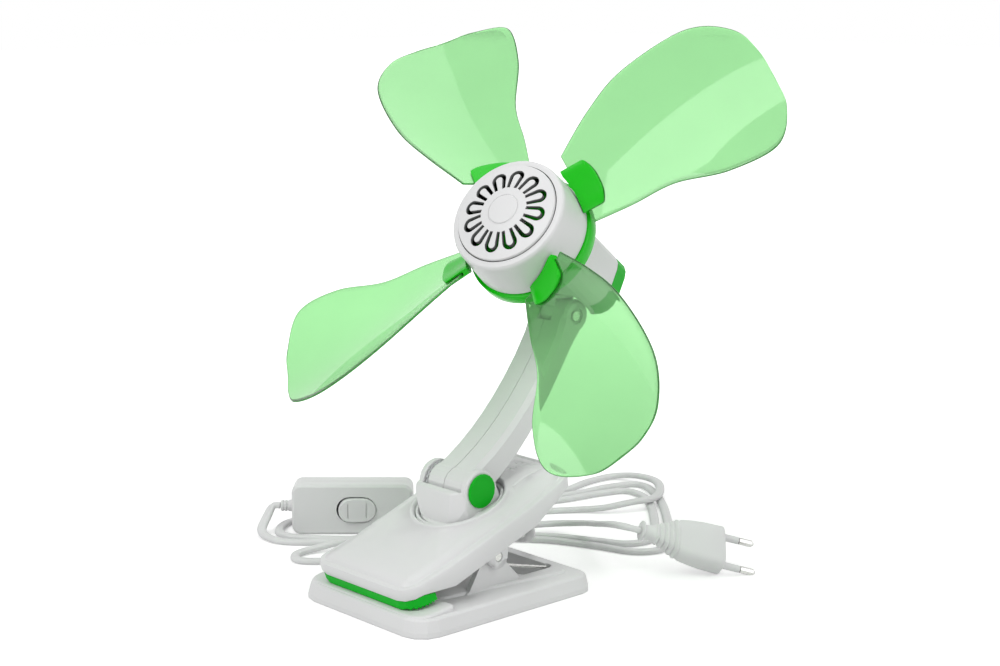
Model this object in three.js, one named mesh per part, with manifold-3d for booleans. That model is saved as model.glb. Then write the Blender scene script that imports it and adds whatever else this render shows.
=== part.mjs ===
// Clip fan with a four-bladed head on a bent arm, a sprung clamp foot, an in-line switch and a flat cord.
// Millimetres, +Z up, the fan faces -Y. The origin is the centre of the clamp base's underside.
import * as THREE from 'three';
import { mergeVertices } from 'three/addons/utils/BufferGeometryUtils.js';
import Module from 'manifold-3d';

const wasm = await Module();
wasm.setup();

const DEG = Math.PI / 180;
const V = (x, y, z) => new THREE.Vector3(x, y, z);

// ---------------------------------------------------------------- driving dimensions
const GAP = 0.3;                 // clearance between fixed neighbours
const RUN = 0.5;                 // clearance between pieces that turn past each other

const base = {
  halfX: 48.2, halfY: 59.2, height: 9.6, draft: 1.8, land: 3,
  cornerFront: 13, cornerRear: 9, wall: 2.4, rib: 8,
  plateauRise: 1.4, plateauFrontX: 28.5, plateauRearX: 38.2, plateauY0: -30, plateauY1: 50,
  padFrontY: -56.4, padRearY: -33, padHalfX: 44.5, padFrontZ: 10.2, padRearZ: 12.6,
  slotHalfX: 29, slotY0: 25, slotY1: 47, notchR: 2.6, notchX: 25,
};
const pin = { y: 4.2, z: 26.4, radius: 2.25, halfLength: 34.2 };
const cheek = { outerX: 31, thick: 3, radius: 6.5 };
const lobe = { thick: 3, radius: 6 };
const jaw = {
  tilt: 20, halfX: 37.5, front: -60.6, rear: 62.6, cornerFront: 10, cornerRear: 17, wall: 2.4,
  edgeZ: 13.8, crown: 5.2, lowFront: 10.4, lowMid: 3.4, lowRear: 9.6,
};
const gripPad = { noseZ: 5.35, rearZ: 2.5, length: 18, pitch: 1.9, tooth: 0.9, plug: 3 };
const recess = { y: 11, radius: 24, floorZ: 13.2 };
const yokePart = { earInner: 14.3, earThick: 3.7, earRadius: 10.5, pivotY: 12.9, pivotZ: 27.3, stemR: 5.6 };
const arm = {
  reachY: 71.4, reachZ: 80, halfX: 14, wall: 2.2, knuckleR: 9.3, rootHalf: 8.6, tipHalf: 6.4,
  earInner: 5, earR: 8.7, edge: 2.4, boltR: 3, pinR: 2.6,
};
const head = { lift: 35.45, swivel: 13.3, axisRise: 18.6 };   // fan axis above the head pivot
const drum = { frontR: 31.4, rearR: 32.6, front: 73.2, rear: 48.3, wall: 1.8, faceR: 27.1 };
const ring = { front: 48, rear: 41.2, outerR: 34.5, wall: 3.2 };
const house = { front: 40.4, split: 4, end: -7, halfX: 28.5, top: 17, bottom: -15, wall: 2.2, corner: 9 };
const core = { back: 19.6, front: 30.6, half: 9.8, left: -20.8, right: 13.5, bore: 7.6, leg: 4.6, coil: 2.1 };
const neck = { tongue: 4.6, knuckleR: 8.2, discR: 11, discZ: 9.3, discT: 2, stemR: 4, recessR: 17.3 };
const vents = { count: 12, inner: 13.6, outer: 22.6, slot: 1.9, halfInner: 2.5, halfOuter: 3.4 };
const blades = { count: 4, phase: 36.9, tipR: 146.2, thick: 1.3, plane: 54.6, pitch: 29.1, twist: -42, ease: 22, rise: 1.7, droop: -4.1 };
const bracket = { u0: 31.2, u1: 45.5, v0: -13, v1: 21, thick: 5.4 };
const lead = { width: 5.4, thick: 3.3 };
const sw = { length: 68, height: 29, depth: 19, corner: 5, split: 8.6, at: [-121, 34.2, 0], turn: 47.5, relief: 7 };
const rocker = { x: 2.5, halfX: 10.6, halfZ: 6.8, stand: 2.2, rock: 5 };
const gland = { y: 48, foot: 9.5, head: 14.6, radius: 5.2 };
const spring = { wire: 1.6, radius: 5.5, from: 128, turns: 4, last: -112, pitch: 1.95, x0: 16.8, steps: 8 };
const plug = {
  at: [46.7, 93.4, 24.8], dir: V(0.530, 0.799, -0.286).normalize(), across: V(-0.558, 0.582, 0.591),
  length: 46, bodyFrom: 19, width: 26, depth: 13.7, pinGap: 18.6, pinR: 2, pinLength: 19, sleeve: 10,
};
const coil = { r0: 9, f0: 127, reach: 113.5, shrink: 7, waist: 38, tighten: 7, from: 228, to: 795 };
const FINENESS = 0.72;             // share of the nominal side count of every round form
const shaftR = 2.0;

// ---------------------------------------------------------------- colours
const looks = {
  white: { color: 0xeceeef, roughness: 0.38, metalness: 0.0 },
  green: { color: 0x0db420, roughness: 0.4, metalness: 0.0 },
  blade: { color: 0x9fe0a0, roughness: 0.3, metalness: 0.0, transparent: true, opacity: 0.72 },
  steel: { color: 0xb9bcc0, roughness: 0.3, metalness: 0.9 },
  core: { color: 0x6e6f73, roughness: 0.5, metalness: 0.7 },
  copper: { color: 0xb06a35, roughness: 0.5, metalness: 0.5 },
  cord: { color: 0xe8eae9, roughness: 0.55, metalness: 0.0 },
  grey: { color: 0xc9cccd, roughness: 0.5, metalness: 0.0 },
};

// ---------------------------------------------------------------- solids from three.js geometry
function signedVolume(pos, idx) {
  let total = 0;
  for (let i = 0; i < idx.length; i += 3) {
    const [a, b, c] = [idx[i] * 3, idx[i + 1] * 3, idx[i + 2] * 3];
    total += pos[a] * (pos[b + 1] * pos[c + 2] - pos[b + 2] * pos[c + 1])
      - pos[a + 1] * (pos[b] * pos[c + 2] - pos[b + 2] * pos[c])
      + pos[a + 2] * (pos[b] * pos[c + 1] - pos[b + 1] * pos[c]);
  }
  return total / 6;
}

function solid(geometry) {
  const bare = geometry.clone();
  bare.deleteAttribute('normal');
  bare.deleteAttribute('uv');
  const merged = mergeVertices(bare, 1e-3);
  const pos = merged.attributes.position.array;
  const all = merged.index.array;
  let idx = [];
  for (let i = 0; i < all.length; i += 3) {
    const [a, b, c] = [all[i], all[i + 1], all[i + 2]];
    if (a !== b && b !== c && a !== c) idx.push(a, b, c);
  }
  if (signedVolume(pos, idx) < 0) {
    for (let i = 0; i < idx.length; i += 3) [idx[i + 1], idx[i + 2]] = [idx[i + 2], idx[i + 1]];
  }
  return new wasm.Manifold(new wasm.Mesh({
    numProp: 3, vertProperties: new Float32Array(pos), triVerts: new Uint32Array(idx),
  }));
}
const join = (first, ...rest) => rest.reduce((sum, next) => sum.add(next), first);
const cut = (first, ...rest) => rest.reduce((left, next) => left.subtract(next), first);

function move(geometry, { turnX = 0, turnY = 0, turnZ = 0, at = [0, 0, 0] } = {}) {
  if (turnX) geometry.rotateX(turnX * DEG);
  if (turnY) geometry.rotateY(turnY * DEG);
  if (turnZ) geometry.rotateZ(turnZ * DEG);
  return geometry.translate(...at);
}

const facets = (sides) => Math.max(6, 2 * Math.round((sides * FINENESS) / 2));
const box = (x0, x1, y0, y1, z0, z1) =>
  solid(new THREE.BoxGeometry(x1 - x0, y1 - y0, z1 - z0)
    .translate((x0 + x1) / 2, (y0 + y1) / 2, (z0 + z1) / 2));

// cylinder from a to b along the named axis
function rod(axis, r, a, b, at = [0, 0], sides = 24, r2 = r) {
  const g = new THREE.CylinderGeometry(r2, r, b - a, facets(sides));
  g.translate(0, (a + b) / 2, 0);
  if (axis === 'z') return solid(move(g, { turnX: 90, at: [at[0], at[1], 0] }));
  if (axis === 'x') return solid(move(g, { turnZ: -90, at: [0, at[0], at[1]] }));
  return solid(move(g, { at: [at[0], 0, at[1]] }));
}

// profile [radius, height] pairs revolved about the named axis
function turned(axis, profile, at = [0, 0, 0], sides = 32) {
  const g = new THREE.LatheGeometry(profile.map(([r, h]) => new THREE.Vector2(r, h)), facets(sides));
  if (axis === 'z') g.rotateX(Math.PI / 2);
  if (axis === 'x') g.rotateZ(-Math.PI / 2);
  return solid(g.translate(...at));
}

// shape in (Y, Z) extruded along X from x0 to x1, with an optional rounded edge
function slabX(shape, x0, x1, edge = 0, steps = 1) {
  const g = new THREE.ExtrudeGeometry(shape, {
    depth: x1 - x0 - 2 * edge, bevelEnabled: edge > 0, bevelSize: edge, bevelThickness: edge,
    bevelOffset: -edge, bevelSegments: steps, curveSegments: 4,
  });
  g.applyMatrix4(new THREE.Matrix4().makeBasis(V(0, 1, 0), V(0, 0, 1), V(1, 0, 0)));
  return solid(g.translate(x0 + edge, 0, 0));
}

// shape in (X, Y) extruded along Z from z0 to z1
function slabZ(shape, z0, z1, curveSegments = 6) {
  const g = new THREE.ExtrudeGeometry(shape, { depth: z1 - z0, bevelEnabled: false, curveSegments });
  return solid(g.translate(0, 0, z0));
}

// closed body through rings of equal point count, ends closed on their centres
function loft(rings) {
  const n = rings[0].length;
  const pos = [];
  const idx = [];
  rings.forEach((r) => r.forEach((p) => pos.push(p.x, p.y, p.z)));
  for (let k = 0; k + 1 < rings.length; k += 1) {
    for (let i = 0; i < n; i += 1) {
      const [a, b] = [k * n + i, k * n + ((i + 1) % n)];
      idx.push(a, b, b + n, a, b + n, a + n);
    }
  }
  const lid = (ringIndex, flip) => {
    const centre = rings[ringIndex].reduce((s, p) => s.add(p), V(0, 0, 0)).multiplyScalar(1 / n);
    const c = pos.length / 3;
    pos.push(centre.x, centre.y, centre.z);
    for (let i = 0; i < n; i += 1) {
      const [a, b] = [ringIndex * n + i, ringIndex * n + ((i + 1) % n)];
      if (flip) idx.push(c, b, a);
      else idx.push(c, a, b);
    }
  };
  lid(0, true);
  lid(rings.length - 1, false);
  const g = new THREE.BufferGeometry();
  g.setAttribute('position', new THREE.Float32BufferAttribute(pos, 3));
  g.setIndex(idx);
  return solid(g);
}

// plan outline with its own front and rear corner radii, turned inwards by inset
function plan(halfX, front, rear, rFront, rRear, inset = 0, steps = 3, sideSteps = 1) {
  const corners = [
    [halfX - inset, rear - inset, Math.max(rRear - inset, 0.6), 0],
    [-halfX + inset, rear - inset, Math.max(rRear - inset, 0.6), 90],
    [-halfX + inset, front + inset, Math.max(rFront - inset, 0.6), 180],
    [halfX - inset, front + inset, Math.max(rFront - inset, 0.6), 270],
  ];
  const out = [];
  corners.forEach(([x, y, r, start]) => {
    const cx = x - Math.sign(x) * r;
    const cy = y - (start < 180 ? 1 : -1) * r;
    for (let i = 0; i <= steps; i += 1) {
      const a = (start + (90 * i) / steps) * DEG;
      out.push([cx + r * Math.cos(a), cy + r * Math.sin(a)]);
    }
    if (start !== 90 && start !== 270) return;
    const nextR = Math.max((start === 90 ? rFront : rRear) - inset, 0.6);
    const farY = start === 90 ? front + inset + nextR : rear - inset - nextR;
    for (let i = 1; i < sideSteps; i += 1) out.push([x, cy + ((farY - cy) * i) / sideSteps]);
  });
  return out;
}

const group = new THREE.Group();
function piece(parent, name, body, look) {
  const m = body.getMesh();
  const g = new THREE.BufferGeometry();
  g.setAttribute('position', new THREE.Float32BufferAttribute(Float32Array.from(m.vertProperties), 3));
  g.setIndex(new THREE.Uint32BufferAttribute(Uint32Array.from(m.triVerts), 1));
  g.computeVertexNormals();
  const mesh = new THREE.Mesh(g, new THREE.MeshStandardMaterial(looks[look]));
  mesh.name = name;
  parent.add(mesh);
  return mesh;
}

// pan head screw with its shank, standing along +Z below the head
function screw(headR, headH, shankR, length, sides = 12) {
  const head = turned('z', [[0, 0], [headR, 0], [headR, headH * 0.55], [headR * 0.7, headH], [0, headH]], [0, 0, 0], sides);
  const shank = rod('z', shankR, -length, 0.4, [0, 0], sides);
  const slot = box(-headR * 0.62, headR * 0.62, -0.35, 0.35, headH * 0.45, headH + 1);
  const slot2 = box(-0.35, 0.35, -headR * 0.62, headR * 0.62, headH * 0.45, headH + 1);
  return cut(join(head, shank), slot, slot2);
}

// ---------------------------------------------------------------- clamp base
const world = new THREE.Group();
group.add(world);

const baseRing = (z, inset, grow = 0) => plan(base.halfX + grow, -base.halfY - grow, base.halfY + grow,
  base.cornerFront, base.cornerRear, inset).map(([x, y]) => V(x, y, z));
const rimInset = base.draft;
let baseBody = loft([
  baseRing(0, 0.5), baseRing(0.8, 0), baseRing(base.land, 0),
  baseRing(base.height - 1.2, rimInset * 0.8), baseRing(base.height - 0.3, rimInset + 0.5),
  baseRing(base.height, rimInset + 1.4),
]);

// raised plateau that widens towards the rear
const plateau = (z, inset) => {
  const yA = base.plateauY0 + inset;
  const yB = base.plateauY1 - inset;
  const at = (y) => base.plateauFrontX + (base.plateauRearX - base.plateauFrontX)
    * ((y - base.plateauY0) / (base.plateauY1 - base.plateauY0)) - inset;
  const r = 5;
  const pts = [];
  [[at(yB), yB, 0], [-at(yB), yB, 90], [-at(yA), yA, 180], [at(yA), yA, 270]].forEach(([x, y, start]) => {
    const cx = x - Math.sign(x) * r;
    const cy = y - (start < 180 ? 1 : -1) * r;
    for (let i = 0; i <= 4; i += 1) {
      const a = (start + 22.5 * i) * DEG;
      pts.push(V(cx + r * Math.cos(a), cy + r * Math.sin(a), z));
    }
  });
  return pts;
};
const plateauTop = base.height + base.plateauRise;
baseBody = join(baseBody, loft([
  plateau(base.height - 1.5, 0), plateau(base.height, 0), plateau(plateauTop - 0.3, 0.9), plateau(plateauTop, 1.7),
]));

// clamping land across the front, rising towards its rear edge
const landTop = (y) => base.padFrontZ + (base.padRearZ - base.padFrontZ)
  * ((y - base.padFrontY) / (base.padRearY - base.padFrontY));
const landRing = (drop, inset, level) => plan(base.padHalfX, base.padFrontY, base.padRearY, 8, 3, inset)
  .map(([x, y]) => V(x, y, level ?? landTop(y) - drop));
baseBody = join(baseBody, loft([
  landRing(0, 0, base.height - 2.5), landRing(1.0, 0), landRing(0.25, 0.5), landRing(0, 1.3),
]));

// underside pocket with a flat cross of ribs
const under = base.height - base.wall;
let pocket = loft([baseRing(-1, base.wall), baseRing(base.land, base.wall), baseRing(under, base.wall + rimInset)]);
const half = base.rib / 2;
pocket = cut(pocket,
  box(-half, half, -base.halfY, base.halfY, -2, 12),
  box(-base.halfX, base.halfX, -half, half, -2, 12));
[-27, 27].forEach((x) => {
  pocket = cut(pocket, box(x - 1, x + 1, -base.halfY, base.halfY, 1, 12));
});
[-36, 18].forEach((y) => {
  pocket = cut(pocket, box(-base.halfX, base.halfX, y - 1, y + 1, 1, 12));
});
const slotWall = 2;
const slotShape = (grow) => {
  const s = new THREE.Shape();
  const [x, y0, y1, r] = [base.slotHalfX + grow, base.slotY0 - grow, base.slotY1 + grow, 3 + grow];
  s.moveTo(-x + r, y0);
  s.lineTo(x - r, y0);
  s.absarc(x - r, y0 + r, r, -Math.PI / 2, 0);
  s.lineTo(x, y1 - r);
  s.absarc(x - r, y1 - r, r, 0, Math.PI / 2);
  s.lineTo(-x + r, y1);
  s.absarc(-x + r, y1 - r, r, Math.PI / 2, Math.PI);
  s.lineTo(-x, y0 + r);
  s.absarc(-x + r, y0 + r, r, Math.PI, Math.PI * 1.5);
  return s;
};
pocket = cut(pocket, slabZ(slotShape(slotWall), -2, 12, 4));
baseBody = cut(baseBody, pocket, slabZ(slotShape(0), -2, 14, 4));

// cheeks that carry the pin
const cheekShape = new THREE.Shape();
cheekShape.moveTo(-17.5, base.height - 1.5);
cheekShape.lineTo(-12.3, plateauTop);
cheekShape.lineTo(pin.y - cheek.radius * 0.86, pin.z + cheek.radius * 0.4);
cheekShape.absarc(pin.y, pin.z, cheek.radius, 155 * DEG, 12 * DEG, true);
cheekShape.lineTo(12.7, 20.7);
cheekShape.lineTo(21.5, plateauTop + 0.6);
cheekShape.lineTo(25, base.height - 1.5);
[-1, 1].forEach((side) => {
  const x1 = cheek.outerX * side;
  const x0 = (cheek.outerX - cheek.thick) * side;
  const plate = slabX(cheekShape, Math.min(x0, x1), Math.max(x0, x1));
  const gusset = slabX(new THREE.Shape([
    new THREE.Vector2(pin.y - 1.2, base.height - 1), new THREE.Vector2(pin.y + 1.2, base.height - 1),
    new THREE.Vector2(pin.y + 1.2, pin.z - 9), new THREE.Vector2(pin.y - 1.2, pin.z - 9),
  ]), Math.min(x0 - side * 5, x0), Math.max(x0 - side * 5, x0));
  baseBody = join(baseBody, plate, gusset);
});
const pinHole = rod('x', pin.radius + 0.2, -base.halfX, base.halfX, [pin.y, pin.z], 20);
baseBody = cut(baseBody, pinHole);

// seats for the long spring legs at the rear edge of the slot
[-1, 1].forEach((side) => {
  baseBody = cut(baseBody, rod('z', base.notchR, -1, 13, [side * base.notchX, base.slotY1 - 1], 16));
});
piece(world, 'clamp_base', baseBody, 'white');
piece(world, 'pivot_pin', rod('x', pin.radius, -pin.halfLength, pin.halfLength, [pin.y, pin.z], 20), 'steel');

// ---------------------------------------------------------------- upper jaw, in its own tilted frame
const jawGroup = new THREE.Group();
jawGroup.position.set(0, pin.y, pin.z);
jawGroup.rotation.x = jaw.tilt * DEG;
world.add(jawGroup);

const smooth = (t) => t * t * (3 - 2 * t);
const between = (y, a, b) => smooth(Math.min(1, Math.max(0, (y - a) / (b - a))));
// lower edge of the side walls: higher at the rear handle and at the nose
const skirt = (y) => jaw.lowMid + (jaw.lowRear - jaw.lowMid) * between(y, 26, 52)
  + (jaw.lowFront - jaw.lowMid) * between(-y, 34, 52);
const topEdge = (y) => jaw.edgeZ + 2.6 * between(-y, 36, 58) + 1.0 * between(y, 20, 50);
const jawPlan = (inset) => plan(jaw.halfX, jaw.front, jaw.rear, jaw.cornerFront, jaw.cornerRear, inset, 3, 5);
const jawRing = (inset, height) => jawPlan(inset).map(([x, y]) => V(x, y, height(y)));
const crownOver = (share) => (y) => topEdge(y) + jaw.crown * share * (1 - 0.55 * between(-y, 30, 60)
  - 0.35 * between(y, 40, 62));
const jawOuter = loft([
  jawRing(0.5, (y) => skirt(y)), jawRing(0, (y) => skirt(y) + 0.9),
  jawRing(0, (y) => topEdge(y) - 1.2), jawRing(0.7, (y) => topEdge(y) + 0.2),
  jawRing(4, crownOver(0.36)), jawRing(10, crownOver(0.76)), jawRing(20, crownOver(1)),
]);
const w = jaw.wall;
const jawInner = loft([
  jawRing(w, (y) => skirt(y) - 4), jawRing(w, (y) => topEdge(y) - 1.2 - w * 0.6),
  jawRing(10, (y) => crownOver(0.7)(y) - w), jawRing(20, (y) => crownOver(0.94)(y) - w),
]);
let jawShell = cut(jawOuter, jawInner);
// cup for the turning foot of the arm
const cupTop = jaw.edgeZ + jaw.crown + 0.9;
const cup = turned('z', [[0, recess.floorZ - w], [recess.radius + 1, recess.floorZ - w],
  [recess.radius + w, recess.floorZ], [recess.radius + w, cupTop - 0.7], [recess.radius + w - 0.8, cupTop],
  [0, cupTop]], [0, recess.y, 0], 36);
const cupBore = turned('z', [[0, recess.floorZ], [recess.radius, recess.floorZ], [recess.radius, cupTop - 0.9],
  [recess.radius + 1.1, cupTop + 0.4], [0, cupTop + 0.4]], [0, recess.y, 0], 36);
const stemHole = rod('z', yokePart.stemR + GAP, 0, 20, [0, recess.y], 24);
jawShell = cut(join(jawShell, cup), cupBore, stemHole);
// pin lobes outside the cheeks, and ribs inside the shell
const lobeShape = new THREE.Shape();
lobeShape.moveTo(15, jaw.edgeZ + jaw.crown);
lobeShape.lineTo(lobe.radius * 0.8, -lobe.radius * 0.6);
lobeShape.absarc(0, 0, lobe.radius, -37 * DEG, -143 * DEG, true);
lobeShape.lineTo(-15, jaw.edgeZ + jaw.crown);
const lobeX0 = cheek.outerX + RUN;
const lobeSpace = join(jawOuter, box(-jaw.halfX, jaw.halfX, -20, 20, -10, jaw.lowMid + 1.5));
[-1, 1].forEach((side) => {
  const x = [lobeX0 * side, (lobeX0 + lobe.thick) * side].sort((a, b) => a - b);
  jawShell = join(jawShell, slabX(lobeShape, x[0], x[1]).intersect(lobeSpace));
  [-38, 46].forEach((y) => {
    const rib = [side * 12, side * 33].sort((a, b) => a - b);
    jawShell = join(jawShell, box(rib[0], rib[1], y - 1, y + 1, topEdge(y) - 4, 40).intersect(jawOuter));
  });
});
jawShell = cut(jawShell, rod('x', pin.radius + 0.2, -40, 40, [0, 0], 20));
piece(jawGroup, 'jaw_shell', jawShell, 'white');

// toothed grip under the nose
const padPlan = (inset) => plan(jaw.halfX, jaw.front, jaw.front + gripPad.length, jaw.cornerFront, 2, inset, 3);
const padWall = loft([0.7, 0.7].map((inset, k) => padPlan(inset).map(([x, y]) => V(x, y, k ? skirt(y) - GAP : 0))));
const padPlug = loft([w + RUN, w + RUN].map((inset, k) => padPlan(inset)
  .map(([x, y]) => V(x, y, k ? skirt(y) + gripPad.plug : 3))));
const biteLine = (y) => gripPad.noseZ + (gripPad.rearZ - gripPad.noseZ) * ((y - jaw.front) / gripPad.length);
const toothShape = new THREE.Shape();
toothShape.moveTo(jaw.front - 2, 30);
toothShape.lineTo(jaw.front - 2, biteLine(jaw.front - 2));
for (let y = jaw.front + 1.2; y + gripPad.pitch < jaw.front + gripPad.length - 0.8; y += gripPad.pitch) {
  toothShape.lineTo(y, biteLine(y));
  toothShape.lineTo(y + gripPad.pitch * 0.3, biteLine(y) + gripPad.tooth);
  toothShape.lineTo(y + gripPad.pitch * 0.7, biteLine(y + gripPad.pitch) + gripPad.tooth);
}
toothShape.lineTo(jaw.front + gripPad.length + 2, biteLine(jaw.front + gripPad.length + 2));
toothShape.lineTo(jaw.front + gripPad.length + 2, 30);
const grip = join(padWall, padPlug).intersect(slabX(toothShape, -jaw.halfX - 1, jaw.halfX + 1));
piece(jawGroup, 'jaw_grip', grip, 'green');

// ---------------------------------------------------------------- turning foot (yoke)
const yokeGroup = new THREE.Group();
yokeGroup.position.set(0, recess.y, 0);
jawGroup.add(yokeGroup);
const pivot = { y: yokePart.pivotY - recess.y, z: yokePart.pivotZ };
const footR = recess.radius - 0.6;
const footTop = cupTop - 0.2;
const foot = turned('z', [[0, recess.floorZ + GAP], [footR - 0.8, recess.floorZ + GAP],
  [footR, recess.floorZ + GAP + 0.8], [footR, footTop - 1], [footR - 1, footTop], [0, footTop]], [0, 0, 0], 32);
// flank: round at the foot, squared under the ears
const flank = (t) => {
  const hx = yokePart.earInner + yokePart.earThick + 1.6 * (1 - t);
  const hy = footR - 2 + (yokePart.earRadius + 1.2 - footR + 2) * Math.sqrt(t);
  const z = footTop - 0.6 + (pivot.z + 0.3 - footTop + 0.6) * t;
  const power = 1 - 0.5 * t;
  return Array.from({ length: 28 }, (_, i) => {
    const a = (i / 28) * 2 * Math.PI;
    const c = Math.cos(a);
    const s = Math.sin(a);
    return V(hx * Math.sign(c) * Math.abs(c) ** power, pivot.y * t + hy * Math.sign(s) * Math.abs(s) ** power, z);
  });
};
// the ears' feet stand inside the round foot
const earX1 = yokePart.earInner + yokePart.earThick;
const footHalf = Math.sqrt(footR ** 2 - earX1 ** 2);
const earShape = new THREE.Shape();
earShape.moveTo(Math.max(pivot.y - yokePart.earRadius, -footHalf), footTop - 1);
earShape.absarc(pivot.y, pivot.z, yokePart.earRadius, Math.PI, 0, true);
earShape.lineTo(Math.min(pivot.y + yokePart.earRadius, footHalf), footTop - 1);
let yoke = join(foot, loft([0, 0.3, 0.65, 1].map(flank)));
[-1, 1].forEach((side) => {
  const x = [yokePart.earInner * side, earX1 * side].sort((a, b) => a - b);
  yoke = join(yoke, slabX(earShape, x[0], x[1], 0.8, 1));
});
const armRoom = arm.knuckleR + 0.7;
const capR = 8.75;
yoke = cut(yoke,
  rod('x', armRoom, -yokePart.earInner, yokePart.earInner, [pivot.y, pivot.z], 32),
  box(-yokePart.earInner, yokePart.earInner, pivot.y, footR + 5, pivot.z - armRoom, pivot.z + 30),
  box(-yokePart.earInner, yokePart.earInner, pivot.y - armRoom, footR + 5, pivot.z, pivot.z + 30),
  rod('x', arm.boltR + 0.2, -30, 30, [pivot.y, pivot.z], 20));
yoke = join(yoke, rod('z', yokePart.stemR, recess.floorZ - w - 0.5, recess.floorZ + 1, [0, 0], 24));
yoke = cut(yoke,
  rod('z', 1.7, 0, recess.floorZ + 2.4, [0, 0], 14),
  rod('x', 6.2, earX1 - 2.4, earX1 + 1, [pivot.y, pivot.z], 24),
  rod('x', capR + GAP, earX1, earX1 + 9, [pivot.y, pivot.z], 28),
  rod('x', 6.4, -earX1 - 9, -earX1, [pivot.y, pivot.z], 24));
piece(yokeGroup, 'yoke', yoke, 'white');
const nutX = earX1 - 2.1;
piece(yokeGroup, 'tilt_bolt', join(
  rod('x', arm.boltR, -earX1 - GAP, nutX + 2.4, [pivot.y, pivot.z], 20),
  rod('x', 5.6, -earX1 - GAP - 2.6, -earX1 - GAP, [pivot.y, pivot.z], 6),
), 'steel');
piece(yokeGroup, 'tilt_nut', cut(rod('x', 5.6, nutX, earX1 - 0.2, [pivot.y, pivot.z], 6),
  rod('x', arm.boltR + GAP, nutX - 1, earX1 + 2, [pivot.y, pivot.z], 20)), 'steel');
piece(yokeGroup, 'tilt_cap', cut(turned('x', [[0, earX1 + GAP], [capR, earX1 + GAP], [capR, earX1 + 0.9],
  [capR - 0.5, earX1 + 1.3], [0, earX1 + 1.3]], [0, pivot.y, pivot.z], 28),
rod('x', arm.boltR + GAP, earX1, earX1 + 0.65, [pivot.y, pivot.z], 20)), 'green');
const washerTop = recess.floorZ - w - 0.8;
piece(yokeGroup, 'swivel_washer', cut(rod('z', 10, washerTop - 1.4, washerTop, [0, 0], 28),
  rod('z', 1.9, washerTop - 2, washerTop + 1, [0, 0], 14)), 'steel');
piece(yokeGroup, 'swivel_screw', (() => {
  const body = join(rod('z', 3.2, washerTop - 1.7 - 1.8, washerTop - 1.7, [0, 0], 16),
    rod('z', 1.4, washerTop - 1.8, recess.floorZ + 1.6, [0, 0], 12));
  return cut(body, box(-2.2, 2.2, -0.35, 0.35, washerTop - 5, washerTop - 2.7));
})(), 'steel');

// ---------------------------------------------------------------- arm, in two mirrored shells
const armGroup = new THREE.Group();
armGroup.position.set(0, pivot.y, pivot.z);
armGroup.rotation.x = -jaw.tilt * DEG;
yokeGroup.add(armGroup);
const tip = { y: arm.reachY, z: arm.reachZ };
const armLine = new THREE.CubicBezierCurve3(V(0, 0, 0), V(0, tip.y * 0.364, tip.z * 0.188),
  V(0, tip.y * 0.672, tip.z * 0.475), V(0, tip.y, tip.z));
const armBand = (t0, t1, shrink) => {
  const front = [];
  const back = [];
  const steps = 9;
  for (let i = 0; i <= steps; i += 1) {
    const t = t0 + ((t1 - t0) * i) / steps;
    const p = armLine.getPoint(t);
    const d = armLine.getTangent(t);
    const h = arm.rootHalf + (arm.tipHalf - arm.rootHalf) * Math.min(1, t / 0.8)
      + (arm.earR - arm.tipHalf) * between(t, 0.86, 1) - shrink;
    front.push(new THREE.Vector2(p.y - d.z * h, p.z + d.y * h));
    back.push(new THREE.Vector2(p.y + d.z * h, p.z - d.y * h));
  }
  return new THREE.Shape([...front, ...back.reverse()]);
};
const discShape = (r, y, z) => {
  const s = new THREE.Shape();
  s.absarc(y, z, r, 0, 2 * Math.PI, false);
  return s;
};
let armSolid = join(slabX(armBand(0, 1, 0), -arm.halfX, arm.halfX, arm.edge, 1),
  turned('x', [[0, -arm.halfX], [arm.knuckleR - 1, -arm.halfX], [arm.knuckleR, -arm.halfX + 1],
    [arm.knuckleR, arm.halfX - 1], [arm.knuckleR - 1, arm.halfX], [0, arm.halfX]], [0, 0, 0], 24),
  turned('x', [[0, -arm.halfX], [arm.earR - 1.4, -arm.halfX], [arm.earR, -arm.halfX + 1.4],
    [arm.earR, arm.halfX - 1.4], [arm.earR - 1.4, arm.halfX], [0, arm.halfX]], [0, tip.y, tip.z], 24));
const bossAt = [0.3, 0.52, 0.72].map((t) => armLine.getPoint(t));
const bossR = 3.4;
let armHollow = slabX(armBand(0.15, 0.8, arm.wall), -arm.halfX + arm.wall, arm.halfX - arm.wall);
bossAt.forEach((p) => { armHollow = cut(armHollow, rod('x', bossR, -arm.halfX, arm.halfX, [p.y, p.z], 16)); });
const slotR = neck.discZ + 1.2;
armSolid = cut(armSolid, armHollow,
  rod('x', arm.boltR + 0.2, -20, 20, [0, 0], 20),
  rod('x', arm.pinR + 0.15, -20, 20, [tip.y, tip.z], 20),
  rod('x', 4.4, arm.halfX - 1.6, arm.halfX + 1, [tip.y, tip.z], 20),
  rod('x', 4.4, -arm.halfX - 1, -arm.halfX + 1.6, [tip.y, tip.z], 20),
  rod('x', slotR, -arm.earInner, arm.earInner, [tip.y, tip.z], 24),
  box(-arm.earInner, arm.earInner, tip.y - 2, tip.y + 12, tip.z - 6, tip.z + 12));
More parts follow.
